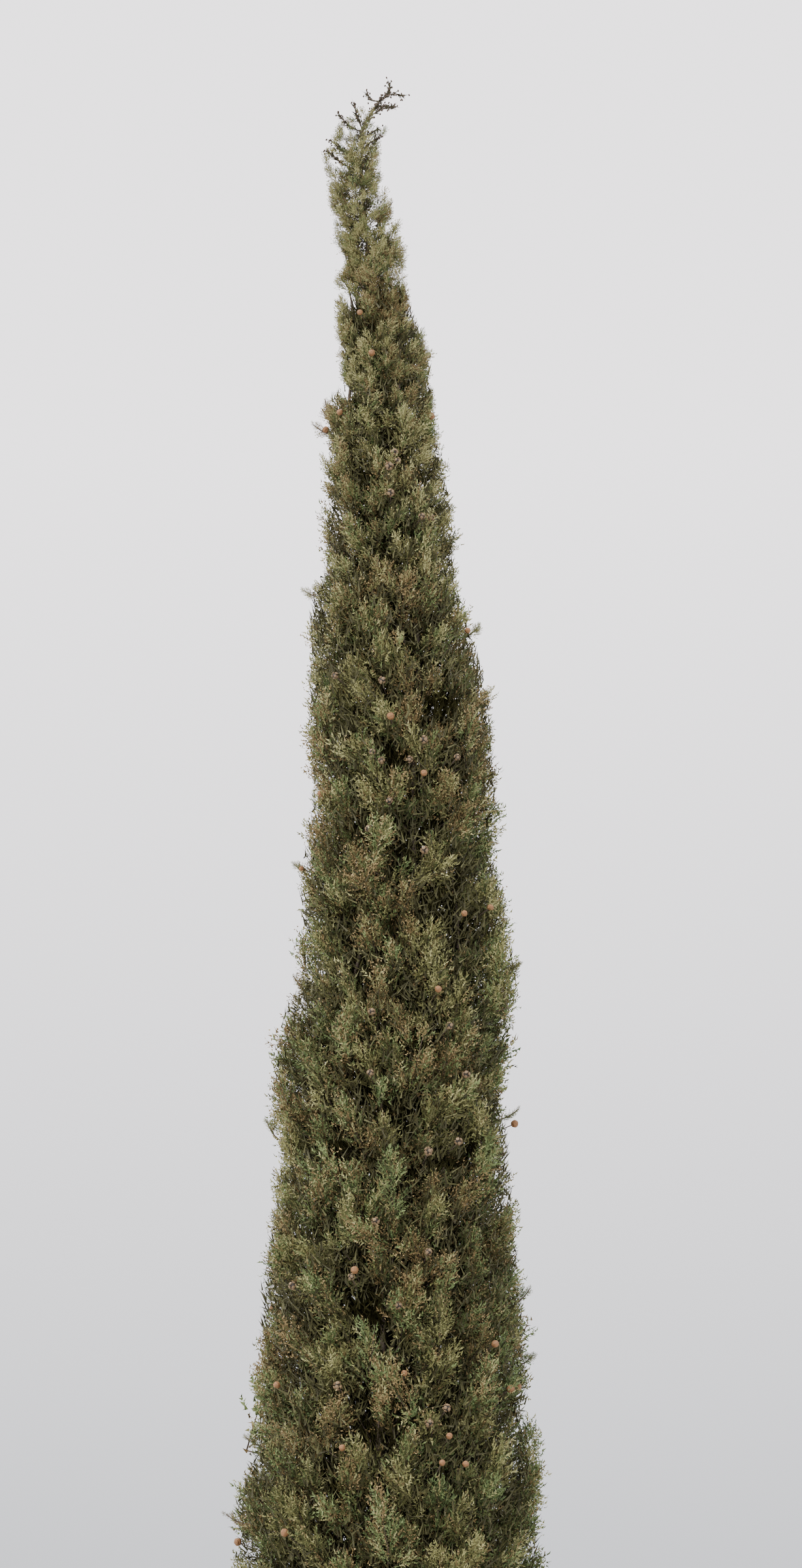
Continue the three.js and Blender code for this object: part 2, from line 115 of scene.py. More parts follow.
# The crown's outline from the front: height, reach to the left, reach to the right.
OUTLINE = np.array([
    (0.43, 0.3, 0.31), (0.76, 0.56, 0.57), (1.4, 0.7, 0.69), (2.4, 0.75, 0.74), (3.5, 0.725, 0.725),
    (4.6, 0.665, 0.67), (5.5, 0.6, 0.615), (6.02, 0.552, 0.562), (6.24, 0.59, 0.556), (6.5, 0.482, 0.514),
    (7, 0.5, 0.502), (7.34, 0.446, 0.466), (7.6, 0.412, 0.45), (7.8, 0.458, 0.424), (8.06, 0.432, 0.456),
    (8.26, 0.322, 0.484), (8.5, 0.36, 0.448), (8.72, 0.35, 0.4), (8.93, 0.316, 0.42), (9.36, 0.336, 0.39),
    (9.57, 0.328, 0.338), (9.79, 0.322, 0.272), (9.9, 0.266, 0.256), (10.12, 0.262, 0.256),
    (10.45, 0.262, 0.178), (10.6, 0.262, 0.18), (10.68, 0.19, 0.158), (10.79, 0.206, 0.164),
    (11.05, 0.23, 0.078), (11.14, 0.238, 0.062), (11.19, 0.192, 0.066), (11.35, 0.235, 0.054),
    (11.56, 0.264, -0.036), (11.72, 0.262, -0.044), (11.86, 0.216, 0.012), (11.94, 0.11, 0.044),
    (TREE_HEIGHT, 0.02, 0.014),
])

# The tiers of masses: name, foot, tip, masses, turn, width, uneven.
TIERS = [
    ("skirt", 0.24, 2.65, 5, 18, 0.5, 0.26),
    ("lower", 1.5, 4.15, 5, 54, 0.5, 0.3),
    ("waist", 3.0, 5.55, 5, 5, 0.5, 0.3),
    ("middle", 4.5, 6.75, 4, 45, 0.55, 0.26),
    ("high", 5.75, 7.78, 4, 0, 0.55, 0.24),
    ("upper", 6.9, 8.76, 4, 50, 0.55, 0.2),
    ("narrow", 7.95, 9.76, 4, 10, 0.55, 0.16),
    ("shoulder", 9.0, 10.64, 3, 60, 0.6, 0.1),
    ("neck", 10.06, 11.12, 3, 190, 0.6, 0.06),
    ("spire", 10.7, 11.44, 2, 176, 0.7, 0.06),
    ("tip", TRUNK_TIP_HEIGHT, TREE_HEIGHT, 1, 0, 0.8, 0.0),
]
BOUGH_TIERS = ("skirt", "lower", "waist", "middle")

# The lengths below are for the upper half, which the photograph shows. Foliage is coarser low down and
# behind, where there is also less of it, and finer where the crown is slim.
COARSE_GROWTH = 1.4
COARSE_HEIGHTS = (5.9, 4.4)
BEHIND_FROM = 0.27
BEHIND_SHARE = 0.48
BEHIND_GROWTH = 1.45
SLIM_SHARE = 0.44
SLIM_RADII = (0.11, 0.34)

# Twigs: where they end, how far they fall towards their roots, and radius with shares at knee and end.
FOLIAGE_TOP = 11.86
TWIG_SPACING = 0.145
TWIG_DROP = 1.3
TWIG_RADII = (0.0035, 0.7, 0.4)
LOWEST_ROOT = 0.20

# A bouquet: plumes along its axis, from the twig's end inwards, each leaning out further than the last.
BOUQUET_PLUMES = 10
BOUQUET_LENGTH = 0.19
BOUQUET_OUTWARD = 0.68
BOUQUET_UPWARD = 0.73
BOUQUET_PLAY = 0.26
BOUQUET_LEAN = (6, 66)
BOUQUET_LEAN_PLAY = 12
BOUQUET_LIFT = 0.16
BOUQUET_KNEE = 0.6
PLUME_LENGTH = 0.128
PLUME_BEFORE_END = 0.9
PLUME_BARE = 0.6
PLUME_BEND = 0.14
SPINE_LENGTH = 0.55
SPINE_WIDTH = 0.035

# Plumes grow that reach this far out, and fewer towards the open tip.
SEEN_FROM = 0.66
SEEN_FROM_SLIM = 0.15
SEEN_RADII = (0.14, 0.30)
SEEN_TO = 1.1
OPENNESS = [(0.18, 10.9, 11.3), (0.50, 11.62, 11.80)]

# How far plumes may pass the outline, and from how far out cords low down are left out.
CORD_OVERHANG = 0.011
OVERHANG_GROWTH = 2.1
OUTLINE_PLAY = 0.030
STRAY_REACH = 0.026
STRAY_BELOW = 5.6

# The kinds of plume, as sprays, cords in a spray and a cord's width in metres: fine where the photograph
# shows the crown, plain round the rest of it, and coarse further inside.
PLUME_FORMS = [(22, 8, 0.0054), (8, 8, 0.0092), (7, 7, 0.0088)]
PLUME_KINDS = 16
FINE_FROM_HEIGHT = 5.4
INNER_DEPTH = 0.82
INNER_RADIUS = 0.2

# A plume of length 1: where its sprays start, how far aside, their lean in degrees, and their lengths.
PLUME_SPAN = (0.06, 0.62)
PLUME_ASIDE = 0.52
PLUME_ASIDE_TO = 0.66
PLUME_LEAN = (16, 66)
PLUME_SPRAYS = (0.32, 0.38)
PLUME_TWIST = 0.9

# A spray of length 1: where its cords start, their lean in degrees and twist, and their lengths.
SPRAY_SPAN = (0.06, 0.86)
SPRAY_LEAN = (66, 36)
SPRAY_LEAN_PLAY = 11
SPRAY_TWIST = 0.6
SPRAY_CORDS = (0.36, 0.24)

# The shaded inside, filled with cords tinted dark as painted shade. Layers: from and to which share of the
# radius, thickness, a cord's length and width.
SHADE_LAYERS = [(0.0, 0.68, 4.8, 0.100, 0.15), (0.58, 0.945, 2.2, 0.048, 0.15)]
SHADE_TOP = 11.05
SHADE_OUTWARD = 0.5
SHADE_UPWARD = 0.8
SHADE_PLAY = 0.5
SHADE_DEEP_SHARE = 0.55
# Inside this share of the radius the cords get the darkest tint, as painted shade.
DARK_INSIDE = 0.68

# Gaps that show sky, as column, row, half width and half height in the photograph's pixels.
SKY_GAPS = [
    (530, 601, 12, 12), (517, 589, 14, 8), (588, 1058, 4, 6), (644, 1381, 3, 3), (591, 1433, 2, 3),
    (578, 2043, 4, 5), (778, 2150, 3, 4), (520, 400, 10, 19),
]

# Airy places, in the same numbers, where this share of the plumes is left out.
AIRY_PLACES = [
    (541, 455, 30, 24), (553, 385, 9, 26), (548, 300, 12, 46), (567, 350, 6, 16), (515, 250, 12, 40),
]
AIRY_SHARE = 0.5

# Hollows between the clumps, in the same numbers: plumes are left out there, and the cords that show are
# tinted dark as painted shade.
HOLLOWS = [
    (672, 1082, 26, 20), (614, 1160, 30, 13), (520, 1394, 20, 11), (597, 1418, 12, 22), (556, 1284, 14, 10),
    (722, 1762, 10, 24), (688, 1784, 28, 10), (640, 1602, 20, 10), (580, 2022, 15, 26), (601, 2178, 14, 36),
    (570, 2200, 18, 26), (782, 2150, 8, 18), (748, 1420, 7, 26), (520, 1762, 16, 14), (560, 2010, 30, 12),
    (616, 702, 12, 14), (638, 470, 14, 20), (748, 1250, 6, 20), (590, 1690, 8, 22), (520, 2284, 20, 8),
]

# The ragged edges of gaps, airy places and hollows.
RAGGED = 0.45
RAGGED_WAVES = (900, 800, 700)

# Sprigs that stick out of the crown's outline: column and row of the root, then of the tip.
SPRIGS = [
    (512, 668, 479, 650), (506, 650, 498, 612), (495, 915, 465, 904), (712, 975, 734, 958),
    (478, 1342, 449, 1322), (770, 1490, 796, 1474), (475, 1525, 449, 1494), (762, 1715, 794, 1698),
    (425, 1745, 408, 1716), (790, 1995, 812, 1972), (795, 2090, 816, 2074), (380, 2335, 346, 2318),
    (405, 2215, 376, 2200), (420, 2160, 398, 2140), (640, 612, 662, 600), (576, 346, 601, 309),
]
SPRIG_RADII = (0.0034, 0.0018)
SPRIG_PLUMES = 6
SPRIG_LIFT = 0.3
SPRIG_PLUME_LENGTHS = (0.058, 0.024)
SPRIG_HUE = 0.6

# Side shoots of the bare leader: height of the root on the leader, and the tip's right, back and height.
LEADER_SHOOTS = [
    (11.94, 0.044, -0.02, 11.932), (11.915, -0.1, 0.01, 11.959), (11.85, 0.013, -0.01, 11.891),
    (11.875, -0.02, 0.05, 11.925), (11.78, -0.209, 0, 11.857), (11.79, -0.15, -0.06, 11.88),
    (11.73, -0.054, 0.02, 11.81), (11.66, -0.243, 0.02, 11.757), (11.6, -0.256, -0.02, 11.69),
    (11.69, -0.05, -0.03, 11.745),
]
LEADER_RADIUS = 0.0058
SHOOT_RADIUS = 0.0032
LEADER_CORD_SPACING = 0.0022
LEADER_CORD_LENGTHS = (0.012, 0.030)
LEADER_CORD_WIDTH = 0.0062
CORDS_PER_BUD = 4
BUD_LENGTH = 0.0075
BUD_RADII = (0.0034, 0.8)

# Cones that the photograph shows, as columns and rows of its pixels.
CLOSED_CONES = [
    (551, 478), (569, 540), (520, 631), (499, 658), (660, 637), (716, 965), (598, 1096), (649, 1183),
    (491, 1215), (462, 1330), (711, 1398), (751, 1389), (671, 1514), (788, 1720), (543, 1944), (758, 2057),
    (619, 2102), (424, 2120), (782, 2126), (793, 2122), (688, 2198), (524, 2216), (713, 2241), (677, 2239),
    (436, 2346), (364, 2360),
]
OPEN_CONES = [
    (604, 692), (609, 705), (596, 713), (598, 754), (646, 790), (659, 792), (513, 1034), (585, 1041),
    (649, 1132), (570, 1151), (584, 1164), (627, 1162), (700, 1159), (596, 1225), (564, 1268), (650, 1301),
    (569, 1548), (688, 1570), (567, 1642), (714, 1645), (702, 1747), (656, 1762), (575, 1869), (656, 1916),
    (538, 1954), (448, 1968), (610, 1998), (517, 2121), (684, 2155), (657, 2178),
]
CONE_RADIUS = 0.0132
CONE_DEPTH = 0.955
CONE_SEARCH = (-0.85, 0.0, 120)
CONE_STALK = 0.07
CONE_STALK_RADII = (0.0026, 0.0022)

# Tints of the leaf cords, from the painted shade of the inside to the pale tips, and the brown ones with
# pollen.
TINTS = {
    # dark, deep and shade are painted shade for the inside, the hollows and the gaps between clumps.
    "dark": (0.019, 0.018, 0.007),
    "deep": (0.034, 0.032, 0.011),
    "shade": (0.062, 0.060, 0.021),
    "green": (0.108, 0.114, 0.040),
    "olive": (0.187, 0.183, 0.069),
    "pale": (0.278, 0.268, 0.119),
    "moss": (0.070, 0.102, 0.035),
    "sage": (0.128, 0.166, 0.060),
    "brown": (0.150, 0.106, 0.043),
    "tan": (0.280, 0.206, 0.094),
}
DARK, DEEP, SHADE, GREEN, OLIVE, PALE, MOSS, SAGE, BROWN, TAN = range(len(TINTS))

# How light a spray is: darker the deeper its plume lies and towards the plume's foot, both painted shade, and
# by chance; and the tints from there up.
LIGHT_FROM = 0.62
LIGHT_SPAN = 0.38
LIGHT_OF_DEPTH = 0.6
LIGHT_OF_PLACE = 0.3
LIGHT_PLAY = 0.20
LIGHT_ABOVE = {GREEN: 0.36, OLIVE: 0.58, PALE: 0.92}
DEEP_BELOW = 0.14

# What makes a plume lighter or darker: chance; height, lighter higher up as painted light; hollows and the
# side away from the light, darker as painted shade.
LIGHT_OF_HUE = 0.05
LIGHT_OF_HEIGHT = [(0.06, 6.5, 8.5), (0.18, 8.5, 9.4), (0.05, 9.8, 10.6)]
HOLLOW_DARKNESS = 0.36
SHADY_DARKNESS = 0.10
SHADY_SIDE = (0.45, 0.95)

# Brown and cool patches: slow waves over the crown, along right, back and up and with a start, then limits.
PATCH_WAVES = [(7.1, 0, 3.3, 1.0), (0, 9.7, -4.1, 2.0), (8.9, -6.1, 5.3, 0), (0, 11.0, 13.0, 4.0)]
PATCH_OF_HUE = 0.12
BROWN_FROM = 0.40
BROWN_GROWTH = 2.0
BROWN_SHARES = (0.10, 0.62)
BROWN_LIGHT = 0.2
# Cool tints also gather on the side away from the light, as painted shade.
COOL_WAVES = 12
COOL_SHARE = 0.7
COOL_PLAY = 0.4
COOL_FROM = 0.1

# Pollen cones: which share of a brown spray's cords bear one, and its length and width in cords.
KNOB_SHARE = 0.4
KNOB_LENGTH = 0.34
KNOB_WIDTH = 1.55

# Trunk and boughs: rings and sides of their meshes, and the relief.
TRUNK_RINGS = 330
TRUNK_SIDES = 40
RELIEF_HEIGHT = 0.004
RELIEF_OF_RADIUS = 0.035
BOUGH_RINGS = 24
BOUGH_SIDES = 8
BOUGH_END = 0.97
BOUGH_RIBS = 0.05

# Materials: colour, roughness, and scale and height of the fine relief. The leaves' colours are the tints.
MATERIALS = {
    "bark": ((0.12, 0.09, 0.07), 0.85, 60, 0.002),
    "twig_bark": ((0.070, 0.048, 0.033), 0.8, 400, 0.0008),
    "bough_bark": ((0.075, 0.055, 0.040), 0.85, 90, 0.0015),
    "cones_closed": ((0.190, 0.090, 0.032), 0.7, 500, 0.0006),
    "cones_open": ((0.168, 0.110, 0.055), 0.7, 500, 0.0006),
    # The cone cores' near-black is painted shade.
    "cone_painted_shade_cores": ((0.018, 0.013, 0.009), 0.7, 500, 0.0006),
    "floor_paint": ((0.62, 0.62, 0.62), 0.8, 2, 0.0005),
}
LEAF_FINISH = (0.66, 900, 0.0006)
LEAF_SHEEN = 0.25
GLOSS_PLAY = (-0.12, 0.1)
BARK_STRETCH = (34, 34, 3)
BARK_RAMP = [(0.35, (0.045, 0.032, 0.024)), (0.68, (0.25, 0.205, 0.165))]

# The stage: a pale floor, soft light from all round and a soft sun.
FLOOR_RADIUS = 260
FLOOR_HEIGHT = -0.002
FLOOR_SIDES = 96
SKY_RAMP = [(0.22, (0.54, 0.55, 0.58)), (0.42, (1.30, 1.26, 1.30))]
SKY_STRENGTH = 2.0
SUN_STRENGTH = 4.2
SUN_SIZE = math.radians(16)
SUN_COLOUR = (1.0, 0.97, 0.9)
SUN_TURNS = (math.radians(42), math.radians(-8), math.radians(-38))


def mix(a, b, t):
    """The value at share t of the way from a to b."""
    return a + (b - a) * t


def smooth(value, low, high):
    """A soft step from 0 at low to 1 at high."""
    t = np.clip((value - low) / (high - low), 0.0, 1.0)
    return t * t * (3 - 2 * t)


def unit(vectors):
    """Vectors of length 1."""
    vectors = np.asarray(vectors, dtype=float)
    return vectors / np.maximum(np.linalg.norm(vectors, axis=-1, keepdims=True), 1e-12)


class Seeded:
    """Numbers from 0 to 1, the same as the model's."""

    def __init__(self, seed):
        self.state = seed & 0xFFFFFFFF

    def __call__(self):
        self.state = (self.state + 0x6D2B79F5) & 0xFFFFFFFF
        state = self.state
        mixed = ((state ^ (state >> 15)) * (1 | state)) & 0xFFFFFFFF
        mixed = ((mixed + (((mixed ^ (mixed >> 7)) * (61 | mixed)) & 0xFFFFFFFF)) & 0xFFFFFFFF) ^ mixed
        return ((mixed ^ (mixed >> 14)) & 0xFFFFFFFF) / 4294967296


# Lines and the crown's form
def smooth_line(points, steps=240):
    """A smooth curve through points, as places evenly spaced along it."""
    points = np.asarray(points, dtype=float)
    before = 2 * points[0] - points[1]
    after = 2 * points[-1] - points[-2]
    full = np.vstack([before, points, after])
    share = np.linspace(0, 1, 24, endpoint=False)[:, None]
    pieces = []
    for p0, p1, p2, p3 in zip(full, full[1:], full[2:], full[3:]):
        d0, d1, d2 = (np.linalg.norm(b - a) for a, b in ((p0, p1), (p1, p2), (p2, p3)))
        start = ((p1 - p0) / d0 - (p2 - p0) / (d0 + d1) + (p2 - p1) / d1) * d1
        end = ((p2 - p1) / d1 - (p3 - p1) / (d1 + d2) + (p3 - p2) / d2) * d1
        cubic = 2 * p1 - 2 * p2 + start + end
        square = -3 * p1 + 3 * p2 - 2 * start - end
        pieces.append(p1 + start * share + square * share**2 + cubic * share**3)
    dense = np.vstack(pieces + [points[-1:]])
    length = np.concatenate([[0], np.cumsum(np.linalg.norm(np.diff(dense, axis=0), axis=1))])
    even = np.linspace(0, length[-1], steps + 1)
    return np.stack([np.interp(even, length, dense[:, k]) for k in range(3)], axis=1)


def along_line(line, t):
    """Places and directions at shares t of a line's length."""
    t = np.atleast_1d(t)
    share = np.linspace(0, 1, len(line))
    place = np.stack([np.interp(t, share, line[:, k]) for k in range(3)], axis=1)
    slope = np.gradient(line, axis=0)
    way = unit(np.stack([np.interp(t, share, slope[:, k]) for k in range(3)], axis=1))
    return place, way


def across(ways):
    """Two directions across each way: one near the right, one to the back."""
    right = np.zeros_like(ways)
    right[:, 0] = 1
    right = unit(right - ways * (right * ways).sum(1, keepdims=True))
    return right, np.cross(ways, right)


def any_across(random, ways):
    """A direction across each way, at random."""
    return unit(np.cross(ways, random.normal(0, 1, ways.shape)))


def trunk_middle(height):
    """The trunk's middle at a height: right, back."""
    right = np.interp(height, TRUNK_LINE[:, 0], TRUNK_LINE[:, 1])
    back = np.interp(height, TRUNK_LINE[:, 0], TRUNK_LINE[:, 2])
    return right, back


def trunk_radius(height, turn):
    """The trunk's radius at a height, with the root flare's lobes."""
    taper = mix(TRUNK_RADIUS_AT_GROUND, TRUNK_TIP_RADIUS, height / TRUNK_TIP_HEIGHT)
    flare = np.exp(-height / ROOT_FLARE_HEIGHT)
    return (taper + ROOT_FLARE * flare) * (1 + ROOT_LOBE_DEPTH * flare * np.cos(ROOT_LOBES * turn))


def section(height):
    """The middle and the radius of the crown's round section at a height."""
    left = np.interp(height, OUTLINE[:, 0], OUTLINE[:, 1])
    right = np.interp(height, OUTLINE[:, 0], OUTLINE[:, 2])
    return (right - left) / 2, (left + right) / 2


def from_middle(places):
    """The level ways from the crown's middle to places."""
    middle = section(places[:, 2])[0]
    return np.stack([places[:, 0] - middle, places[:, 1], np.zeros(len(places))], axis=1)


def outness(places):
    """How far out places lie in the crown: 1 is on its outline."""
    middle, radius = section(places[:, 2])
    out = np.hypot(places[:, 0] - middle, places[:, 1]) / radius
    outside = (places[:, 2] > TREE_HEIGHT) | (places[:, 2] < OUTLINE[0, 0])
    return np.where(outside, 2.0, out)


def pixel_of(places):
    """The columns and rows of the photograph's pixels that show places."""
    away = places - np.array(CAMERA_PLACE)
    deep = away[:, 1] * COS_TILT + away[:, 2] * SIN_TILT
    up = away[:, 2] * COS_TILT - away[:, 1] * SIN_TILT
    return IMAGE_WIDTH / 2 + FOCAL * away[:, 0] / deep, IMAGE_HEIGHT / 2 - FOCAL * up / deep


def place_behind(column, row, back=0.0):
    """The place that a pixel of the photograph shows, so far back from the tree's middle."""
    right = (column - IMAGE_WIDTH / 2) / FOCAL
    up = (IMAGE_HEIGHT / 2 - row) / FOCAL
    ray = np.array([right, COS_TILT - up * SIN_TILT, SIN_TILT + up * COS_TILT])
    return np.array(CAMERA_PLACE) + (back - CAMERA_PLACE[1]) / ray[1] * ray


def in_ellipses(places, ellipses):
    """Whether the camera of the photograph sees places inside any of some ellipses with ragged edges."""
    columns, rows = pixel_of(places)
    x, y, z = places.T
    along_x, along_y, along_z = RAGGED_WAVES
    edge = 1 + RAGGED * np.sin(x * along_x + z * along_z) * np.sin(y * along_y)
    inside = np.zeros(len(places), dtype=bool)
    for column, row, half_width, half_height in ellipses:
        inside |= np.hypot((columns - column) / half_width, (rows - row) / half_height) < edge
    return inside


def behind(places):
    """Whether places are on the side that the photograph doesn't show."""
    return places[:, 1] > BEHIND_FROM * section(places[:, 2])[1]


def fullness(t):
    """How wide a mass is along its line: narrow foot, full waist, pointed tip."""
    return mix(0.34, 1, smooth(t, 0.05, 0.42)) * mix(1, 0.28, smooth(t, 0.5, 1.02))


def coarseness(height):
    """How much larger than in the upper half the foliage is at a height."""
    fine_from, coarse_to = COARSE_HEIGHTS
    return 1 + COARSE_GROWTH * smooth(-np.asarray(height), -fine_from, -coarse_to)


def slimness(radius):
    """How much smaller the plumes are where the crown is thin."""
    return mix(SLIM_SHARE, 1.0, smooth(radius, *SLIM_RADII))


def stepped(height, steps):
    """The sum of shares that each grow from a low to a high height."""
    return sum(share * smooth(height, low, high) for share, low, high in steps)


class Mass:
    """One foliage mass: its line, its width and its own space."""

    def __init__(self, tier, number, foot, tip, line, width, seed):
        self.name = f"{tier}_foliage_{number}"
        self.bough = f"{tier}_bough_{number}" if tier in BOUGH_TIERS else None
        self.foot = foot
        self.tip = tip
        self.line = line
        self.width = width
        self.seed = seed
        self.start = BOUGH_SHARE if self.bough else START_WITHOUT_BOUGH
        self.samples = np.linspace(0, 1, MASS_SAMPLES + 1)
        self.places = along_line(line, self.samples)[0]
        self.stem_radius = self.radius(0.5) * STEM_SHARE_OF_WIDTH

    def radius(self, t):
        """The mass's own half width at share t of its line."""
        return self.width * section(mix(self.foot, self.tip, t))[1] * fullness(t)

    def nearness(self, places):
        """How far places are from the line, against the mass's width there."""
        best = np.full(len(places), np.inf)
        for k in range(1, len(self.samples)):
            a, b = self.places[k - 1], self.places[k]
            way = b - a
            share = np.clip((places - a) @ way / (way @ way), 0, 1)
            distance = np.linalg.norm(places - a - share[:, None] * way, axis=1)
            t = mix(self.samples[k - 1], self.samples[k], share)
            best = np.minimum(best, distance / self.radius(t))
        return best


def mass_line(foot, tip, turn, far_out):
    """The line of a mass: it leaves the trunk, swings out and then rises nearly upright."""
    points = []
    for share in MASS_LINE_SHARES:
        height = mix(foot, tip, share)
        middle, radius = section(height)
        out = radius * far_out * (1 - math.exp(-share / SWING))
        right, back = trunk_middle(min(height, TRUNK_TIP_HEIGHT))
        centre = mix(right, middle, float(smooth(share, 0, 0.5)))
        points.append((centre + out * math.cos(turn), back * (1 - share) + out * math.sin(turn), height))
    return smooth_line(points)


def make_masses():
    """All masses, by the same seeded choices as in the model."""
    random = Seeded(SEED)
    masses = []
    for name, foot, tip, count, turn, width, uneven in TIERS:
        for i in range(count):
            own_turn = math.radians(turn + 360 / count * i + (random() - 0.5) * TURN_PLAY)
            own_tip = tip + (0 if i == 0 else (random() - 0.5) * 2 * uneven)
            own_foot = foot + (random() - 0.5) * uneven
            if count == 1:
                line = smooth_line(LEADER_LINE[:, [1, 2, 0]])
            else:
                far_out = MASS_OUT_PAIR if count == 2 else MASS_OUT_RING
                line = mass_line(own_foot, own_tip, own_turn, far_out)
            seed = SEED + len(masses) * 17
            masses.append(Mass(name, i + 1, own_foot, own_tip, line, width, seed))
    return masses


# Templates. A cord is one long pointed face: two corners at its root and one at its tip.
def blades(roots, ways, sides, lengths, widths):
    """Cords as an array (count, 3, 3)."""
    half = sides * (0.5 * widths)[:, None]
    return np.stack([roots - half, roots + half, roots + ways * lengths[:, None]], axis=1)


def knobs(cords):
    """The short thick pollen cones at the tips of cords, wide end outwards."""
    root = (cords[..., 0, :] + cords[..., 1, :]) / 2
    half = (cords[..., 1, :] - cords[..., 0, :]) * KNOB_WIDTH / 2
    tip = cords[..., 2, :]
    return np.stack([mix(root, tip, 1 - KNOB_LENGTH), tip + half, tip - half], axis=-2)


def turned_about(vectors, axes, angles):
    """Vectors turned about unit axes."""
    cos = np.cos(angles)[:, None]
    sin = np.sin(angles)[:, None]
    along = (vectors * axes).sum(1, keepdims=True)
    return vectors * cos + np.cross(axes, vectors) * sin + axes * along * (1 - cos)


def spray_template(random, cords, width):
    """A spray of length 1 along +Z: cords to the left and right by turns, one ahead, one as its stem."""
    count = cords - 2
    share = np.linspace(*SPRAY_SPAN, count)
    hand = np.where(np.arange(count) % 2 == 0, 1.0, -1.0)
    lean = np.radians(mix(*SPRAY_LEAN, share) + random.normal(0, SPRAY_LEAN_PLAY, count))
    twist = random.normal(0, SPRAY_TWIST, count)
    ways = np.stack([hand * np.sin(lean) * np.cos(twist), np.sin(lean) * np.sin(twist), np.cos(lean)], axis=1)
    lengths = mix(*SPRAY_CORDS, share) * random.uniform(0.75, 1.25, count)
    roots = np.stack([0.02 * np.sin(share * 9), 0.03 * np.cos(share * 7), share], axis=1)
    roots = np.vstack([roots, [[0, 0, 0.70], [0, 0, 0]]])
    ways = unit(np.vstack([ways, [[0.05, 0.0, 1.0], [0, 0, 1]]]))
    lengths = np.append(lengths, [0.25, 0.50])
    sides = any_across(random, ways)
    return blades(roots, ways, sides, lengths, width * random.uniform(0.8, 1.25, cords))


def plume_template(random, sprays, cords, width):
    """A plume of length 1 along +Z: its cords, the spray that each cord is in, and where the sprays start."""
    made = []
    heights = []
    turn = random.uniform(0, math.tau)
    for k in range(sprays):
        turn += GOLDEN_ANGLE
        share = mix(*PLUME_SPAN, k / (sprays - 1))
        is_last = k == sprays - 1
        aside = 0.0 if is_last else PLUME_ASIDE * (PLUME_ASIDE_TO - share) * random.uniform(0.1, 1.0)
        lean = math.radians(mix(*PLUME_LEAN, aside / 0.3) * random.uniform(0.6, 1.3))
        size = mix(*PLUME_SPRAYS, share) * random.uniform(0.85, 1.15)
        spray = spray_template(random, cords, width / size)
        out = np.array([math.cos(turn), math.sin(turn), 0.0])
        way = out * math.sin(lean) + np.array([0, 0, math.cos(lean)])
        level = unit(np.cross(way, [out[1], -out[0], 0.3]))
        flat = turned_about(level[None], way[None], random.uniform(-PLUME_TWIST, PLUME_TWIST, 1))[0]
        root = out * aside + np.array([0, 0, share + 0.8 * aside])
        made.append(spray @ np.stack([flat, np.cross(way, flat), way]) * size + root)
        heights.append(root[2])
    return np.concatenate(made), np.repeat(np.arange(sprays), cords), np.array(heights)


def set_on(template, places, ways, turns, sizes, bend):
    """A template set on many places: +Z to ways, turned about it, scaled, and bent up towards its tip."""
    right, _ = across(ways)
    first = turned_about(right, ways, turns)
    second = np.cross(ways, first)
    frames = np.stack([first, second, ways], axis=1) * sizes[:, None, None]
    made = np.einsum("kpi,nij->nkpj", template, frames)
    made[..., 2] += bend[:, None, None] * sizes[:, None, None] * template[None, :, :, 2] ** 2
    return made + places[:, None, None, :]


class Foliage:
    """Collects cords with a tint each, and makes the pieces."""

    def __init__(self):
        self.cords = []
        self.tints = []

    def add(self, made, tints):
        """Takes cords in, except those in a gap that shows sky and those that stray from the lower crown."""
        flat = made.reshape(-1, 3, 3).astype(np.float32)
        tints = np.broadcast_to(tints, made.shape[:-2]).reshape(-1).astype(np.int8)
        middle, radius = section(flat[:, :, 2])
        beyond = np.hypot(flat[:, :, 0] - middle, flat[:, :, 1]).max(axis=1) - radius.min(axis=1)
        stray = (beyond > STRAY_REACH) & (flat[:, 0, 2] < STRAY_BELOW)
        kept = ~stray & ~in_ellipses(flat.mean(axis=1), SKY_GAPS)
        self.cords.append(flat[kept])
        self.tints.append(tints[kept])

    def pieces(self):
        """An object of each tint, with the tint's name."""
        cords = np.concatenate(self.cords)
        tints = np.concatenate(self.tints)
        made = []
        for number, tint in enumerate(TINTS):
            places = cords[tints == number].reshape(-1, 3)
            faces = np.arange(len(places)).reshape(-1, 3)
            made.append((mesh_object(f"leaves_{tint}", places, faces, False), tint))
        return made


def add_object(name, data):
    """A new object in the scene."""
    made = bpy.data.objects.new(name, data)
    bpy.context.collection.objects.link(made)
    return made


def mesh_object(name, places, faces, is_smooth=True):
    """A mesh object from arrays of places and triangles."""
    mesh = bpy.data.meshes.new(name)
    mesh.vertices.add(len(places))
    mesh.vertices.foreach_set("co", np.asarray(places, dtype=np.float32).ravel())
    mesh.loops.add(faces.size)
    mesh.loops.foreach_set("vertex_index", faces.astype(np.int32).ravel())
    mesh.polygons.add(len(faces))
    mesh.polygons.foreach_set("loop_start", np.arange(0, faces.size, 3, dtype=np.int32))
    mesh.polygons.foreach_set("use_smooth", np.full(len(faces), is_smooth))
    mesh.update(calc_edges=True)
    return add_object(name, mesh)


def rings(ways, turns):
    """Rings of radius 1 round 0, one across each way."""
    right, back = across(ways)
    return np.cos(turns)[:, None] * right[:, None] + np.sin(turns)[:, None] * back[:, None]


def wall(count, sides):
    """The triangles between rings of corners."""
    k = np.arange(sides)
    after = (k + 1) % sides
    rows = (np.arange(count - 1) * sides)[:, None]
    return np.concatenate([
        np.stack([rows + k, rows + after, rows + after + sides], -1).reshape(-1, 3),
        np.stack([rows + k, rows + after + sides, rows + k + sides], -1).reshape(-1, 3),
    ])


def fan(ring, middle):
    """The triangles between a ring of corners and one corner."""
    return np.stack([ring, np.roll(ring, -1), np.full(len(ring), middle)], 1)


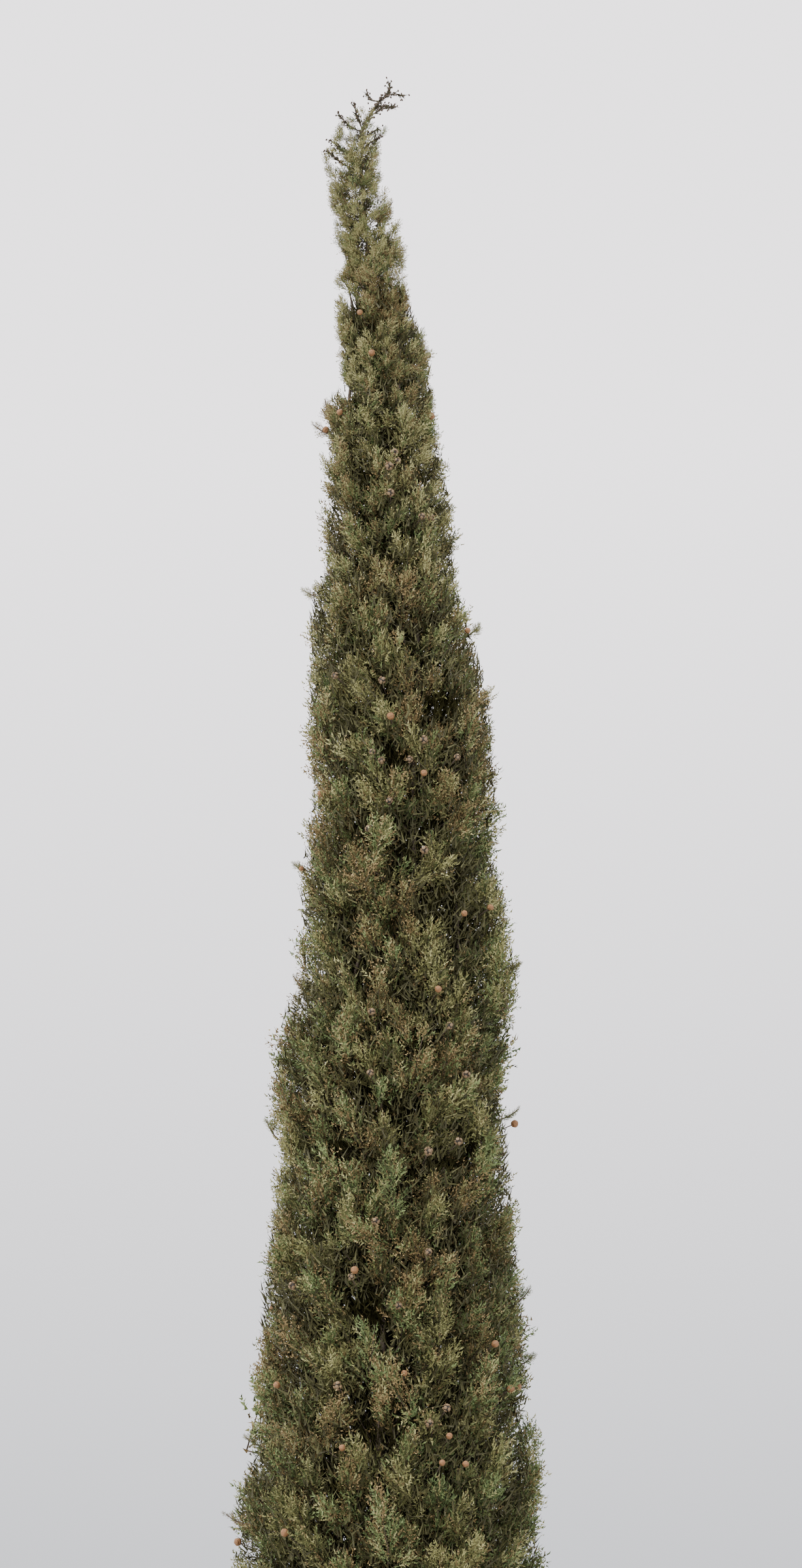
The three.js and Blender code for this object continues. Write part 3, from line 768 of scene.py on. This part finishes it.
def tubes(starts, ends, radii, end_radii, sides=3):
    """Straight tapered bars as places and triangles, one for each start and end, with closed ends."""
    ring = rings(unit(ends - starts), np.arange(sides) * math.tau / sides)
    low = starts[:, None] + ring * radii[:, None, None]
    high = ends[:, None] + ring * end_radii[:, None, None]
    places = np.concatenate([low, high], axis=1)
    faces = [wall(2, sides)]
    for i in range(1, sides - 1):
        faces.append(np.array([[0, i + 1, i], [sides, sides + i, sides + i + 1]]))
    faces = np.concatenate(faces)
    base = np.arange(len(starts))[:, None, None] * (2 * sides)
    return places.reshape(-1, 3), (faces[None] + base).reshape(-1, 3)


def line_tube(line, radius_at, sides):
    """A round limb along a line, closed at both ends."""
    steps = len(line)
    _, ways = along_line(line, np.linspace(0, 1, steps))
    turns = np.arange(sides) * math.tau / sides
    radius = radius_at(np.linspace(0, 1, steps)[:, None], turns[None, :])
    ring = rings(ways, turns) * np.broadcast_to(radius, (steps, sides))[..., None]
    k = np.arange(sides)
    first = fan(k, steps * sides)[:, [1, 0, 2]]
    last = fan(k + (steps - 1) * sides, steps * sides + 1)
    places = (line[:, None] + ring).reshape(-1, 3)
    return np.vstack([places, line[:1], line[-1:]]), np.concatenate([wall(steps, sides), first, last])


def joined(parts):
    """Several (places, faces) pairs as one."""
    places = []
    faces = []
    count = 0
    for part_places, part_faces in parts:
        places.append(part_places)
        faces.append(part_faces + count)
        count += len(part_places)
    return np.concatenate(places), np.concatenate(faces)


# The growth of the masses
def twig_ends(random):
    """Where the twigs end: round the crown's outline by the golden angle, closer together further up."""
    heights = np.linspace(OUTLINE[0, 0] + 0.03, FOLIAGE_TOP, 2400)
    radius = section(heights)[1]
    closer = mix(0.90, 1.0, smooth(radius, 0.2, 0.4))
    gap = TWIG_SPACING * coarseness(heights) * slimness(radius) * closer
    passed = np.concatenate([[0], np.cumsum((math.tau * radius / gap**2)[:-1] * np.diff(heights))])
    count = int(passed[-1])
    height = np.interp(np.arange(count) + 0.5, passed, heights) + random.normal(0, 0.015, count)
    height = np.clip(height, heights[0], heights[-1])
    turn = GOLDEN_ANGLE * np.arange(count) + random.normal(0, 0.14, count)
    middle, radius = section(height)
    out = radius * random.uniform(0.92, 1.02, count)
    ends = np.stack([middle + out * np.cos(turn), out * np.sin(turn), height], axis=1)
    return ends[~behind(ends) | (random.uniform(0, 1, count) < BEHIND_SHARE)]


def owners_of(places, masses):
    """The mass in whose own space each place lies."""
    best = np.full(len(places), np.inf)
    owner = np.zeros(len(places), dtype=int)
    height = places[:, 2]
    for index, mass in enumerate(masses):
        near = np.flatnonzero((height >= mass.foot - 0.4) & (height <= mass.tip + 0.3))
        distance = mass.nearness(places[near])
        closer = distance < best[near]
        best[near[closer]] = distance[closer]
        owner[near[closer]] = index
    return owner


def drawn_in(base, plume, scale):
    """Plumes' roots, moved inwards where their middles or tips would pass the outline."""
    for part in (1.0, 0.5):
        reached = base + plume * part
        outward = from_middle(reached)
        play = OUTLINE_PLAY * smooth(reached[:, 2], 4.5, 6.0)
        limit = section(reached[:, 2])[1] + play - CORD_OVERHANG * scale**OVERHANG_GROWTH
        excess = np.maximum(np.linalg.norm(outward, axis=1) - limit, 0)
        base = base - unit(outward) * excess[:, None]
    return base


def grow_mass(mass, ends, templates, foliage, wood):
    """Grows one mass: twigs from its stem that bend up, and a bouquet of plumes round each one's end."""
    random = np.random.default_rng(mass.seed)
    count = len(ends)
    line_share = np.linspace(0, 1, len(mass.line))
    level = np.interp(ends[:, 2], mass.line[:, 2], line_share)
    away = np.linalg.norm((ends - along_line(mass.line, level)[0])[:, :2], axis=1)
    root_share = np.interp(ends[:, 2] - TWIG_DROP * away - 0.04, mass.line[:, 2], line_share)
    roots, _ = along_line(mass.line, np.maximum(root_share, mass.start))

    radius = section(ends[:, 2])[1]
    scale = coarseness(ends[:, 2]) * slimness(radius) * np.where(behind(ends), BEHIND_GROWTH, 1.0)
    play = random.normal(0, BOUQUET_PLAY, (count, 3))
    axis = unit(unit(from_middle(ends)) * BOUQUET_OUTWARD + [0, 0, BOUQUET_UPWARD] + play)
    right, back = across(axis)
    bouquet = BOUQUET_LENGTH * scale * random.uniform(0.8, 1.2, count)
    plume = PLUME_LENGTH * scale
    turn = random.uniform(0, math.tau, count)
    seen_from = mix(SEEN_FROM_SLIM, SEEN_FROM, smooth(radius, *SEEN_RADII))
    left_out = stepped(ends[:, 2], OPENNESS)
    grown = []
    for k in range(BOUQUET_PLUMES):
        share = k / (BOUQUET_PLUMES - 1)
        turn = turn + GOLDEN_ANGLE
        out = right * np.cos(turn)[:, None] + back * np.sin(turn)[:, None]
        play = random.uniform(-BOUQUET_LEAN_PLAY, BOUQUET_LEAN_PLAY, count)
        lean = np.radians(mix(*BOUQUET_LEAN, share) + play)
        way = unit(axis * np.cos(lean)[:, None] + out * np.sin(lean)[:, None] + [0, 0, BOUQUET_LIFT])
        size = plume * random.uniform(0.75, 1.2, count)
        reach = way * size[:, None]
        base = drawn_in(ends - axis * (PLUME_BEFORE_END * plume + share * bouquet)[:, None], reach, scale)
        base[:, 2] = np.maximum(base[:, 2], LOWEST_ROOT)
        depth = outness(base + reach)
        is_airy = in_ellipses(base + reach * 0.5, AIRY_PLACES)
        fits = (depth < SEEN_TO) & (depth > seen_from)
        fits &= random.uniform(0, 1, count) > left_out + AIRY_SHARE * is_airy
        for part in (0.5, 0.8):
            fits &= (base[:, 1] > 0) | ~in_ellipses(base + reach * part, HOLLOWS)
        grown.append((base[fits], way[fits], size[fits], np.flatnonzero(fits)))
    places, plume_ways, sizes, owners = (np.concatenate(parts) for parts in zip(*grown))
    hue = random.normal(0, 1, count)[owners]
    add_plumes(random, templates, foliage, places, plume_ways, sizes, hue)

    knees = ends - axis * (PLUME_BEFORE_END * plume + BOUQUET_KNEE * bouquet)[:, None]
    knees[:, 2] = np.maximum(knees[:, 2], LOWEST_ROOT)
    tips = ends - axis * (PLUME_BARE * plume)[:, None]
    thick, at_knee, at_tip = TWIG_RADII
    wood.append(tubes(roots, knees, thick * scale, thick * at_knee * scale))
    wood.append(tubes(knees, tips, thick * at_knee * scale, thick * at_tip * scale))


def add_plumes(random, templates, foliage, places, ways, sizes, hue):
    """Sets plumes of mixed kinds on their places, with a tint for each spray and cones on brown ones."""
    reach = ways * sizes[:, None]
    depth = outness(places + reach)
    high = places[:, 2]
    middle, radius = section(high)
    inner = (depth < INNER_DEPTH) & (radius > INNER_RADIUS)
    in_view = (high > FINE_FROM_HEIGHT) & ~behind(places)
    form = np.where(inner, 2, np.where(in_view, 0, 1))
    kinds = random.integers(0, PLUME_KINDS, len(places)) + form * PLUME_KINDS
    mood = patch_noise(places) + PATCH_OF_HUE * hue
    # Painted light and shade: plumes on the side away from the sun and in hollows are tinted darker, those
    # higher up lighter.
    shady = smooth((places[:, 0] - middle) / radius, *SHADY_SIDE)
    in_hollow = in_ellipses(places + reach * 0.7, HOLLOWS) & (places[:, 1] < 0)
    bright = hue * LIGHT_OF_HUE + stepped(high, LIGHT_OF_HEIGHT)
    bright -= HOLLOW_DARKNESS * in_hollow + SHADY_DARKNESS * shady
    for kind, (template, spray_of, heights) in enumerate(templates):
        own = kinds == kind
        number = int(own.sum())
        made = set_on(template, places[own], ways[own], random.uniform(0, math.tau, number),
                      sizes[own], random.uniform(0.0, PLUME_BEND, number))
        tints = spray_tints(random, depth[own], mood[own], bright[own], shady[own], heights)[:, spray_of]
        with_knob = (tints == BROWN) & (random.uniform(0, 1, tints.shape) < KNOB_SHARE)
        made[with_knob] = knobs(made[with_knob])
        tints[with_knob] = TAN
        foliage.add(made, tints)
    # The spines are tinted deep, and dark in hollows, as painted shade.
    spines = blades(places, ways, any_across(random, ways), sizes * SPINE_LENGTH, sizes * SPINE_WIDTH)
    foliage.add(spines, np.where(in_hollow, DARK, DEEP))


def patch_noise(places):
    """A slow wave over the crown from 0 to 1, by which brown and cool patches are dealt out."""
    x, y, z = places.T
    return 0.5 + sum(np.sin(a * x + b * y + c * z + start) for a, b, c, start in PATCH_WAVES) / 8


def spray_tints(random, depth, mood, bright, shady, heights):
    """A tint for each spray of each plume: pale and brown ones far out, dark ones inside as painted shade."""
    shape = (len(depth), len(heights))
    # Painted shade: darker the deeper the plume lies in the crown and the nearer a spray is to the plume's
    # foot.
    light = (depth[:, None] - LIGHT_FROM) / LIGHT_SPAN * LIGHT_OF_DEPTH + heights[None] * LIGHT_OF_PLACE
    light = light + random.normal(0, LIGHT_PLAY, shape) + bright[:, None]
    tints = np.full(shape, SHADE)
    tints[light < DEEP_BELOW] = DEEP
    for tint, above in LIGHT_ABOVE.items():
        tints[light > above] = tint
    # Cooler greens on the side away from the light are painted shade; the slow waves are the patches' own
    # tone.
    coolness = (np.sin(mood * COOL_WAVES + 1) * COOL_SHARE + COOL_SHARE * shady)[:, None]
    cool = coolness + random.normal(0, COOL_PLAY, shape) > COOL_FROM
    cool &= (light > LIGHT_ABOVE[GREEN]) & (light <= LIGHT_ABOVE[PALE])
    tints[cool] = np.where(light[cool] > LIGHT_ABOVE[OLIVE], SAGE, MOSS)
    # Fewer brown sprays on the side away from the light: painted shade.
    brown_share = np.clip((mood - BROWN_FROM) * BROWN_GROWTH, *BROWN_SHARES) * (1 - COOL_SHARE * shady)
    is_brown = (random.uniform(0, 1, shape) < brown_share[:, None]) & (light > BROWN_LIGHT)
    tints[is_brown] = BROWN
    return tints


def grow_shade(foliage):
    """Cords in the shaded inside, so that little sky shows through the crown, tinted dark as painted shade.
    """
    random = np.random.default_rng(SEED + 3)
    for inmost, outmost, thickness, fine_length, width in SHADE_LAYERS:
        heights = np.linspace(OUTLINE[0, 0] + 0.1, SHADE_TOP, 1200)
        length = fine_length * coarseness(heights)
        passed = thickness * 2 * outmost * section(heights)[1] / (width / 4 * length**2)
        passed = np.concatenate([[0], np.cumsum(passed[:-1] * np.diff(heights))])
        count = int(passed[-1])
        height = np.interp(random.uniform(0, passed[-1], count), passed, heights)
        middle, radius = section(height)
        turn = random.uniform(0, math.tau, count)
        out = radius * np.sqrt(random.uniform(inmost**2, outmost**2, count))
        outward = np.stack([np.cos(turn), np.sin(turn), np.zeros(count)], axis=1)
        places = outward * out[:, None]
        places[:, 0] += middle
        places[:, 2] = height
        play = random.normal(0, SHADE_PLAY, (count, 3))
        grown = unit(outward * SHADE_OUTWARD + [0, 0, SHADE_UPWARD] + play)
        lengths = np.interp(height, heights, length) * random.uniform(0.6, 1.2, count)
        lengths = lengths * np.where(behind(places), BEHIND_GROWTH, 1.0)
        kept = outness(places + grown * lengths[:, None]) < outmost + 0.04
        kept &= ~in_ellipses(places, AIRY_PLACES)
        kept &= ~behind(places) | (random.uniform(0, 1, count) < BEHIND_SHARE)
        places, grown, lengths = places[kept], grown[kept], lengths[kept]
        sides = any_across(random, grown)
        # Painted shade: these cords get the deep or shade tint, and the darkest one in hollows and near the
        # middle.
        is_deep = random.uniform(0, 1, len(places)) < SHADE_DEEP_SHARE
        tints = np.where(is_deep, DEEP, SHADE)
        tints[in_ellipses(places, HOLLOWS) | (outness(places) < DARK_INSIDE)] = DARK
        foliage.add(blades(places, grown, sides, lengths, lengths * width), tints)


# Leader and sprigs
def grow_leader(foliage, wood):
    """The leader's dark side shoots, each set with short knobby cords and ending in buds."""
    random = np.random.default_rng(SEED + 5)
    leader = smooth_line(LEADER_LINE[:, [1, 2, 0]])
    paths = [(leader, LEADER_RADIUS, 0.55)]
    for height, right, back, tip_height in LEADER_SHOOTS:
        root = np.array([np.interp(height, leader[:, 2], leader[:, k]) for k in range(3)])
        tip = np.array([right, back, tip_height])
        bend = root * 0.5 + tip * 0.5 + [0, 0, 0.010 if right > root[0] else -0.012]
        paths.append((smooth_line([root, bend, tip], 40), SHOOT_RADIUS, 0.2))
    for path, thick, bare_to in paths:
        wood.append(line_tube(path, lambda t, turn: mix(thick, 0.0020, t), 6))
        length = np.linalg.norm(np.diff(path, axis=0), axis=1).sum()
        count = int(length / LEADER_CORD_SPACING)
        t = np.sort(random.uniform(bare_to, 1.0, count))
        places, ways = along_line(path, t)
        side = any_across(random, ways) * random.uniform(0.3, 1.0, count)[:, None]
        grown = unit(ways * 0.9 + side)
        lengths = random.uniform(*LEADER_CORD_LENGTHS, count)
        widths = np.full(count, LEADER_CORD_WIDTH)
        foliage.add(blades(places, grown, any_across(random, grown), lengths, widths), DEEP)
        tips = (places + grown * lengths[:, None])[::CORDS_PER_BUD]
        buds = np.vstack([tips, path[-1:]])
        up = unit(random.normal(0, 0.4, (len(buds), 3)) + [0, 0, 1]) * BUD_LENGTH
        size = np.full(len(buds), BUD_RADII[0])
        wood.append(tubes(buds - up * 0.5, buds + up * 0.5, size, size * BUD_RADII[1], 5))


def grow_sprigs(templates, foliage, wood):
    """The sprigs that stick out of the crown's outline in the photograph."""
    random = np.random.default_rng(SEED + 7)
    for root_column, root_row, tip_column, tip_row in SPRIGS:
        root = place_behind(root_column, root_row)
        tip = place_behind(tip_column, tip_row)
        line = smooth_line([root, (root + tip) / 2 - [0, 0, 0.006], tip], 30)
        wood.append(line_tube(line, lambda t, turn: mix(*SPRIG_RADII, t), 5))
        places, ways = along_line(line, np.linspace(0.1, 0.9, SPRIG_PLUMES))
        side = any_across(random, ways) * random.uniform(0.2, 0.8, SPRIG_PLUMES)[:, None]
        grown = unit(ways + side + [0, 0, SPRIG_LIFT])
        sizes = np.linspace(*SPRIG_PLUME_LENGTHS, SPRIG_PLUMES)
        sizes = sizes * random.uniform(0.8, 1.2, SPRIG_PLUMES)
        add_plumes(random, templates, foliage, places, grown, sizes, np.full(SPRIG_PLUMES, SPRIG_HUE))


# Cones
def seen_place(column, row):
    """The place that a pixel of the photograph shows, at the cones' depth in the foliage."""
    places = np.array([place_behind(column, row, back) for back in np.linspace(*CONE_SEARCH)])
    depth = outness(places)
    inside = np.flatnonzero(depth < CONE_DEPTH)
    return places[inside[0] if len(inside) else np.argmin(depth)]


def ball_points(count):
    """Directions spread evenly over a ball by the golden angle."""
    k = np.arange(count)
    height = 1 - (2 * k + 1) / count
    level = np.sqrt(1 - height**2)
    turn = GOLDEN_ANGLE * k
    return np.stack([level * np.cos(turn), level * np.sin(turn), height], axis=1)


def closed_cone():
    """A closed cone of radius 1: a ball of shields that meet at grooves, each with a small point."""
    ways, faces = ball(9, 15)
    near = np.sort(ways @ ball_points(12).T, axis=1)
    groove = smooth(near[:, -1] - near[:, -2], 0.0, 0.10)
    radius = 0.86 + 0.12 * groove + 0.08 * smooth(near[:, -1], 0.975, 1.0)
    return ways * radius[:, None], faces


def open_cone():
    """An open cone of radius 1: shields set apart, each with a small point, so that the inside shows, where
    make_cones sets a near-black core as painted shade.
    """
    parts = []
    sides = 6
    k = np.arange(sides)
    faces = np.concatenate([fan(k + sides, 2 * sides), wall(2, sides)])
    for way in ball_points(9):
        ring = rings(way[None], k * math.tau / sides + way[0] * 5)[0]
        places = np.vstack([way * 0.40 + ring * 0.15, way * 1.05 + ring * 0.50, way[None] * 1.18])
        parts.append((places, faces))
    return joined(parts)


def ball(count, sides):
    """A plain ball of radius 1, as rings from its top to its foot."""
    tilt = np.linspace(0, math.pi, count)[:, None]
    turn = (np.arange(sides) * math.tau / sides)[None, :]
    level = np.broadcast_to(np.cos(tilt), (count, sides))
    places = np.stack([np.sin(tilt) * np.cos(turn), np.sin(tilt) * np.sin(turn), level], -1)
    return places.reshape(-1, 3), wall(count, sides)[:, ::-1]


def set_cones(template, places, random):
    """A cone template on each place, turned and sized at random."""
    parts = []
    for place in places:
        way = unit(random.normal(0, 1, 3))[None]
        size = CONE_RADIUS * random.uniform(0.85, 1.15)
        frame = np.vstack([*across(way), way]) * size
        parts.append((template[0] @ frame + place, template[1]))
    return joined(parts)


def make_cones(wood):
    """The cones that the photograph shows, and others like them round the rest of the crown."""
    random = np.random.default_rng(SEED + 9)
    closed = [seen_place(*pixel) for pixel in CLOSED_CONES]
    opened = [seen_place(*pixel) for pixel in OPEN_CONES]
    for k in range(150):
        height = random.uniform(1.2, 10.4)
        turn = random.uniform(0, math.tau)
        middle, radius = section(height)
        out = radius * random.uniform(0.86, 0.97)
        place = np.array([middle + out * math.cos(turn), out * math.sin(turn), height])
        if place[1] > 0.1 * radius or height < 5.8:
            (closed if k % 3 else opened).append(place)
    every = np.array(closed + opened)
    roots = every - unit(from_middle(every)) * CONE_STALK - [0, 0, 0.03]
    wood.append(tubes(roots, every, *(np.full(len(every), radius) for radius in CONE_STALK_RADII)))
    # Each open cone gets a near-black core, painted shade between its shields.
    core_places, core_faces = ball(5, 8)
    core = (core_places * 0.8, core_faces)
    for name, template, places in (
        ("cones_closed", closed_cone(), closed),
        ("cones_open", open_cone(), opened),
        ("cone_painted_shade_cores", core, opened),
    ):
        piece = mesh_object(name, *set_cones(template, places, random), False)
        dress(piece, plain_material(name, *MATERIALS[name]))


# Materials
def add_node(owner, kind, **values):
    """A new node of a material or world, with values on its inputs; a name's _ stands for a space."""
    node = owner.node_tree.nodes.new(kind)
    for name, value in values.items():
        node.inputs[name.replace("_", " ")].default_value = value
    return node


def add_ramp(owner, stops):
    """A ramp between two stops, each a position and a colour."""
    ramp = add_node(owner, "ShaderNodeValToRGB")
    for element, (position, colour) in zip(ramp.color_ramp.elements, stops):
        element.position = position
        element.color = (*colour, 1)
    return ramp


def plain_material(name, colour, roughness, relief_scale, relief_height):
    """A plain base colour, with fine relief and an uneven gloss from noise."""
    material = bpy.data.materials.new(name)
    material.use_nodes = True
    link = material.node_tree.links.new
    shader = material.node_tree.nodes["Principled BSDF"]
    shader.inputs["Base Color"].default_value = (*colour, 1)
    shader.inputs["Roughness"].default_value = roughness
    noise = add_node(material, "ShaderNodeTexNoise", Scale=relief_scale, Detail=3)
    place = add_node(material, "ShaderNodeTexCoord")
    link(place.outputs["Object"], noise.inputs["Vector"])
    bump = add_node(material, "ShaderNodeBump", Distance=relief_height)
    link(noise.outputs["Fac"], bump.inputs["Height"])
    link(bump.outputs["Normal"], shader.inputs["Normal"])
    least, most = (roughness + play for play in GLOSS_PLAY)
    spread = add_node(material, "ShaderNodeMapRange", To_Min=least, To_Max=most)
    link(noise.outputs["Fac"], spread.inputs["Value"])
    link(spread.outputs["Result"], shader.inputs["Roughness"])
    return material


def bark_material():
    """Grey-brown bark with long furrows, paler on the ridges."""
    material = plain_material("bark", *MATERIALS["bark"])
    nodes = material.node_tree.nodes
    link = material.node_tree.links.new
    stretch = add_node(material, "ShaderNodeMapping", Scale=BARK_STRETCH)
    link(nodes["Texture Coordinate"].outputs["Object"], stretch.inputs["Vector"])
    fibre = add_node(material, "ShaderNodeTexNoise", Scale=1, Detail=6)
    link(stretch.outputs["Vector"], fibre.inputs["Vector"])
    ramp = add_ramp(material, BARK_RAMP)
    link(fibre.outputs["Fac"], ramp.inputs["Fac"])
    link(ramp.outputs["Color"], nodes["Principled BSDF"].inputs["Base Color"])
    return material


def dress(piece, material):
    """Gives a piece its material and its slot, and sets it on the tree."""
    piece.data.materials.append(material)
    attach(piece, "root")


# Trunk and boughs
def bark_relief(height, turn):
    """Long furrows that run up the bark and part and join."""
    wander = 0.5 * np.sin(height * 2.3 + 1.7 * np.sin(turn)) + 0.3 * np.sin(height * 7.1 + 2.0 * turn)
    broad = np.abs(np.sin(9 * turn + 3 * wander)) ** 0.6
    narrow = np.abs(np.sin(17 * turn - 2 * wander + height * 3)) ** 0.6
    flakes = np.sin(height * 41 + 5 * np.sin(3 * turn)) * np.sin(13 * turn + height * 5)
    return broad + 0.5 * narrow + 0.25 * flakes - 0.9


def trunk_mesh():
    """The trunk, with furrows that are finer than those of the model's plain solid."""
    share = np.linspace(0, 1, TRUNK_RINGS) ** 1.6
    places, _ = along_line(smooth_line(TRUNK_LINE[:, [1, 2, 0]], 1200), share)

    def radius(t, turn):
        height = places[:, 2][:, None]
        base = trunk_radius(height, turn + math.pi / 2)
        return base + np.minimum(RELIEF_HEIGHT, base * RELIEF_OF_RADIUS) * bark_relief(height, turn)

    return line_tube(places, radius, TRUNK_SIDES)


def bough_mesh(mass):
    """The bough of a mass and its stem on up through the foliage."""
    points, _ = along_line(mass.line, np.linspace(0, BOUGH_END, BOUGH_RINGS))

    def radius(t, turn):
        t = t * BOUGH_END
        low = mix(mass.stem_radius * BOUGH_SWELL, mass.stem_radius, np.minimum(t / mass.start, 1))
        high = mix(mass.stem_radius, STEM_TIP_RADIUS, t)
        base = np.where((t < mass.start) & bool(mass.bough), low, high)
        return base * (1 + BOUGH_RIBS * np.abs(np.sin(4 * turn + 9 * t)))

    return line_tube(points, radius, BOUGH_SIDES)


def make_tree():
    """Grows the tree and hides the model's solids that it stands for."""
    random = np.random.default_rng(SEED)
    masses = make_masses()
    templates = [plume_template(random, sprays, cords, width / PLUME_LENGTH)
                 for sprays, cords, width in PLUME_FORMS for _ in range(PLUME_KINDS)]
    foliage = Foliage()
    wood = []
    ends = twig_ends(random)
    owner = owners_of(ends, masses)
    for index, mass in enumerate(masses):
        if (owner == index).any():
            grow_mass(mass, ends[owner == index], templates, foliage, wood)
    grow_shade(foliage)
    grow_leader(foliage, wood)
    grow_sprigs(templates, foliage, wood)
    make_cones(wood)
    pieces = foliage.pieces()
    for piece, tint in pieces:
        material = plain_material(f"leaf_{tint}", TINTS[tint], *LEAF_FINISH)
        shader = material.node_tree.nodes["Principled BSDF"]
        shader.inputs["Specular IOR Level"].default_value = 0.0 if tint == "dark" else LEAF_SHEEN
        dress(piece, material)
    twigs = mesh_object("twigs", *joined(wood))
    dress(twigs, plain_material("twig_bark", *MATERIALS["twig_bark"]))
    trunk = mesh_object("trunk_bark", *trunk_mesh())
    dress(trunk, bark_material())
    boughs = mesh_object("bough_bark", *joined([bough_mesh(mass) for mass in masses]))
    dress(boughs, plain_material("bough_bark", *MATERIALS["bough_bark"]))
    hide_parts("trunk")
    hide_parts(*[mass.bough for mass in masses if mass.bough])
    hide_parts(*[mass.name for mass in masses])


def make_stage():
    """The pale floor, the light from all round, the sun and the camera of the photograph."""
    turns = np.linspace(0, math.tau, FLOOR_SIDES, endpoint=False)
    height = np.full(FLOOR_SIDES, FLOOR_HEIGHT)
    rim = np.stack([FLOOR_RADIUS * np.cos(turns), FLOOR_RADIUS * np.sin(turns), height], 1)
    places = np.vstack([rim, [[0, 0, FLOOR_HEIGHT]]])
    floor = mesh_object("floor", places, fan(np.arange(FLOOR_SIDES), FLOOR_SIDES))
    floor.data.materials.append(plain_material("floor_paint", *MATERIALS["floor_paint"]))

    world = bpy.data.worlds.new("studio")
    bpy.context.scene.world = world
    world.use_nodes = True
    link = world.node_tree.links.new
    light = world.node_tree.nodes["Background"]
    way = add_node(world, "ShaderNodeTexCoord")
    split = add_node(world, "ShaderNodeSeparateXYZ")
    link(way.outputs["Generated"], split.inputs["Vector"])
    ramp = add_ramp(world, SKY_RAMP)
    link(split.outputs["Z"], ramp.inputs["Fac"])
    link(ramp.outputs["Color"], light.inputs["Color"])
    light.inputs["Strength"].default_value = SKY_STRENGTH

    sun = bpy.data.lights.new("key", "SUN")
    sun.energy = SUN_STRENGTH
    sun.angle = SUN_SIZE
    sun.color = SUN_COLOUR
    key = add_object("key", sun)
    key.rotation_euler = SUN_TURNS

    lens = bpy.data.cameras.new("camera")
    lens.lens = CAMERA_LENS
    lens.sensor_width = SENSOR
    lens.clip_end = 1000
    camera = add_object("camera", lens)
    camera.location = CAMERA_PLACE
    camera.rotation_euler = (math.pi / 2 + CAMERA_TILT, 0, 0)
    bpy.context.scene.camera = camera


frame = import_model()
make_stage()
make_tree()
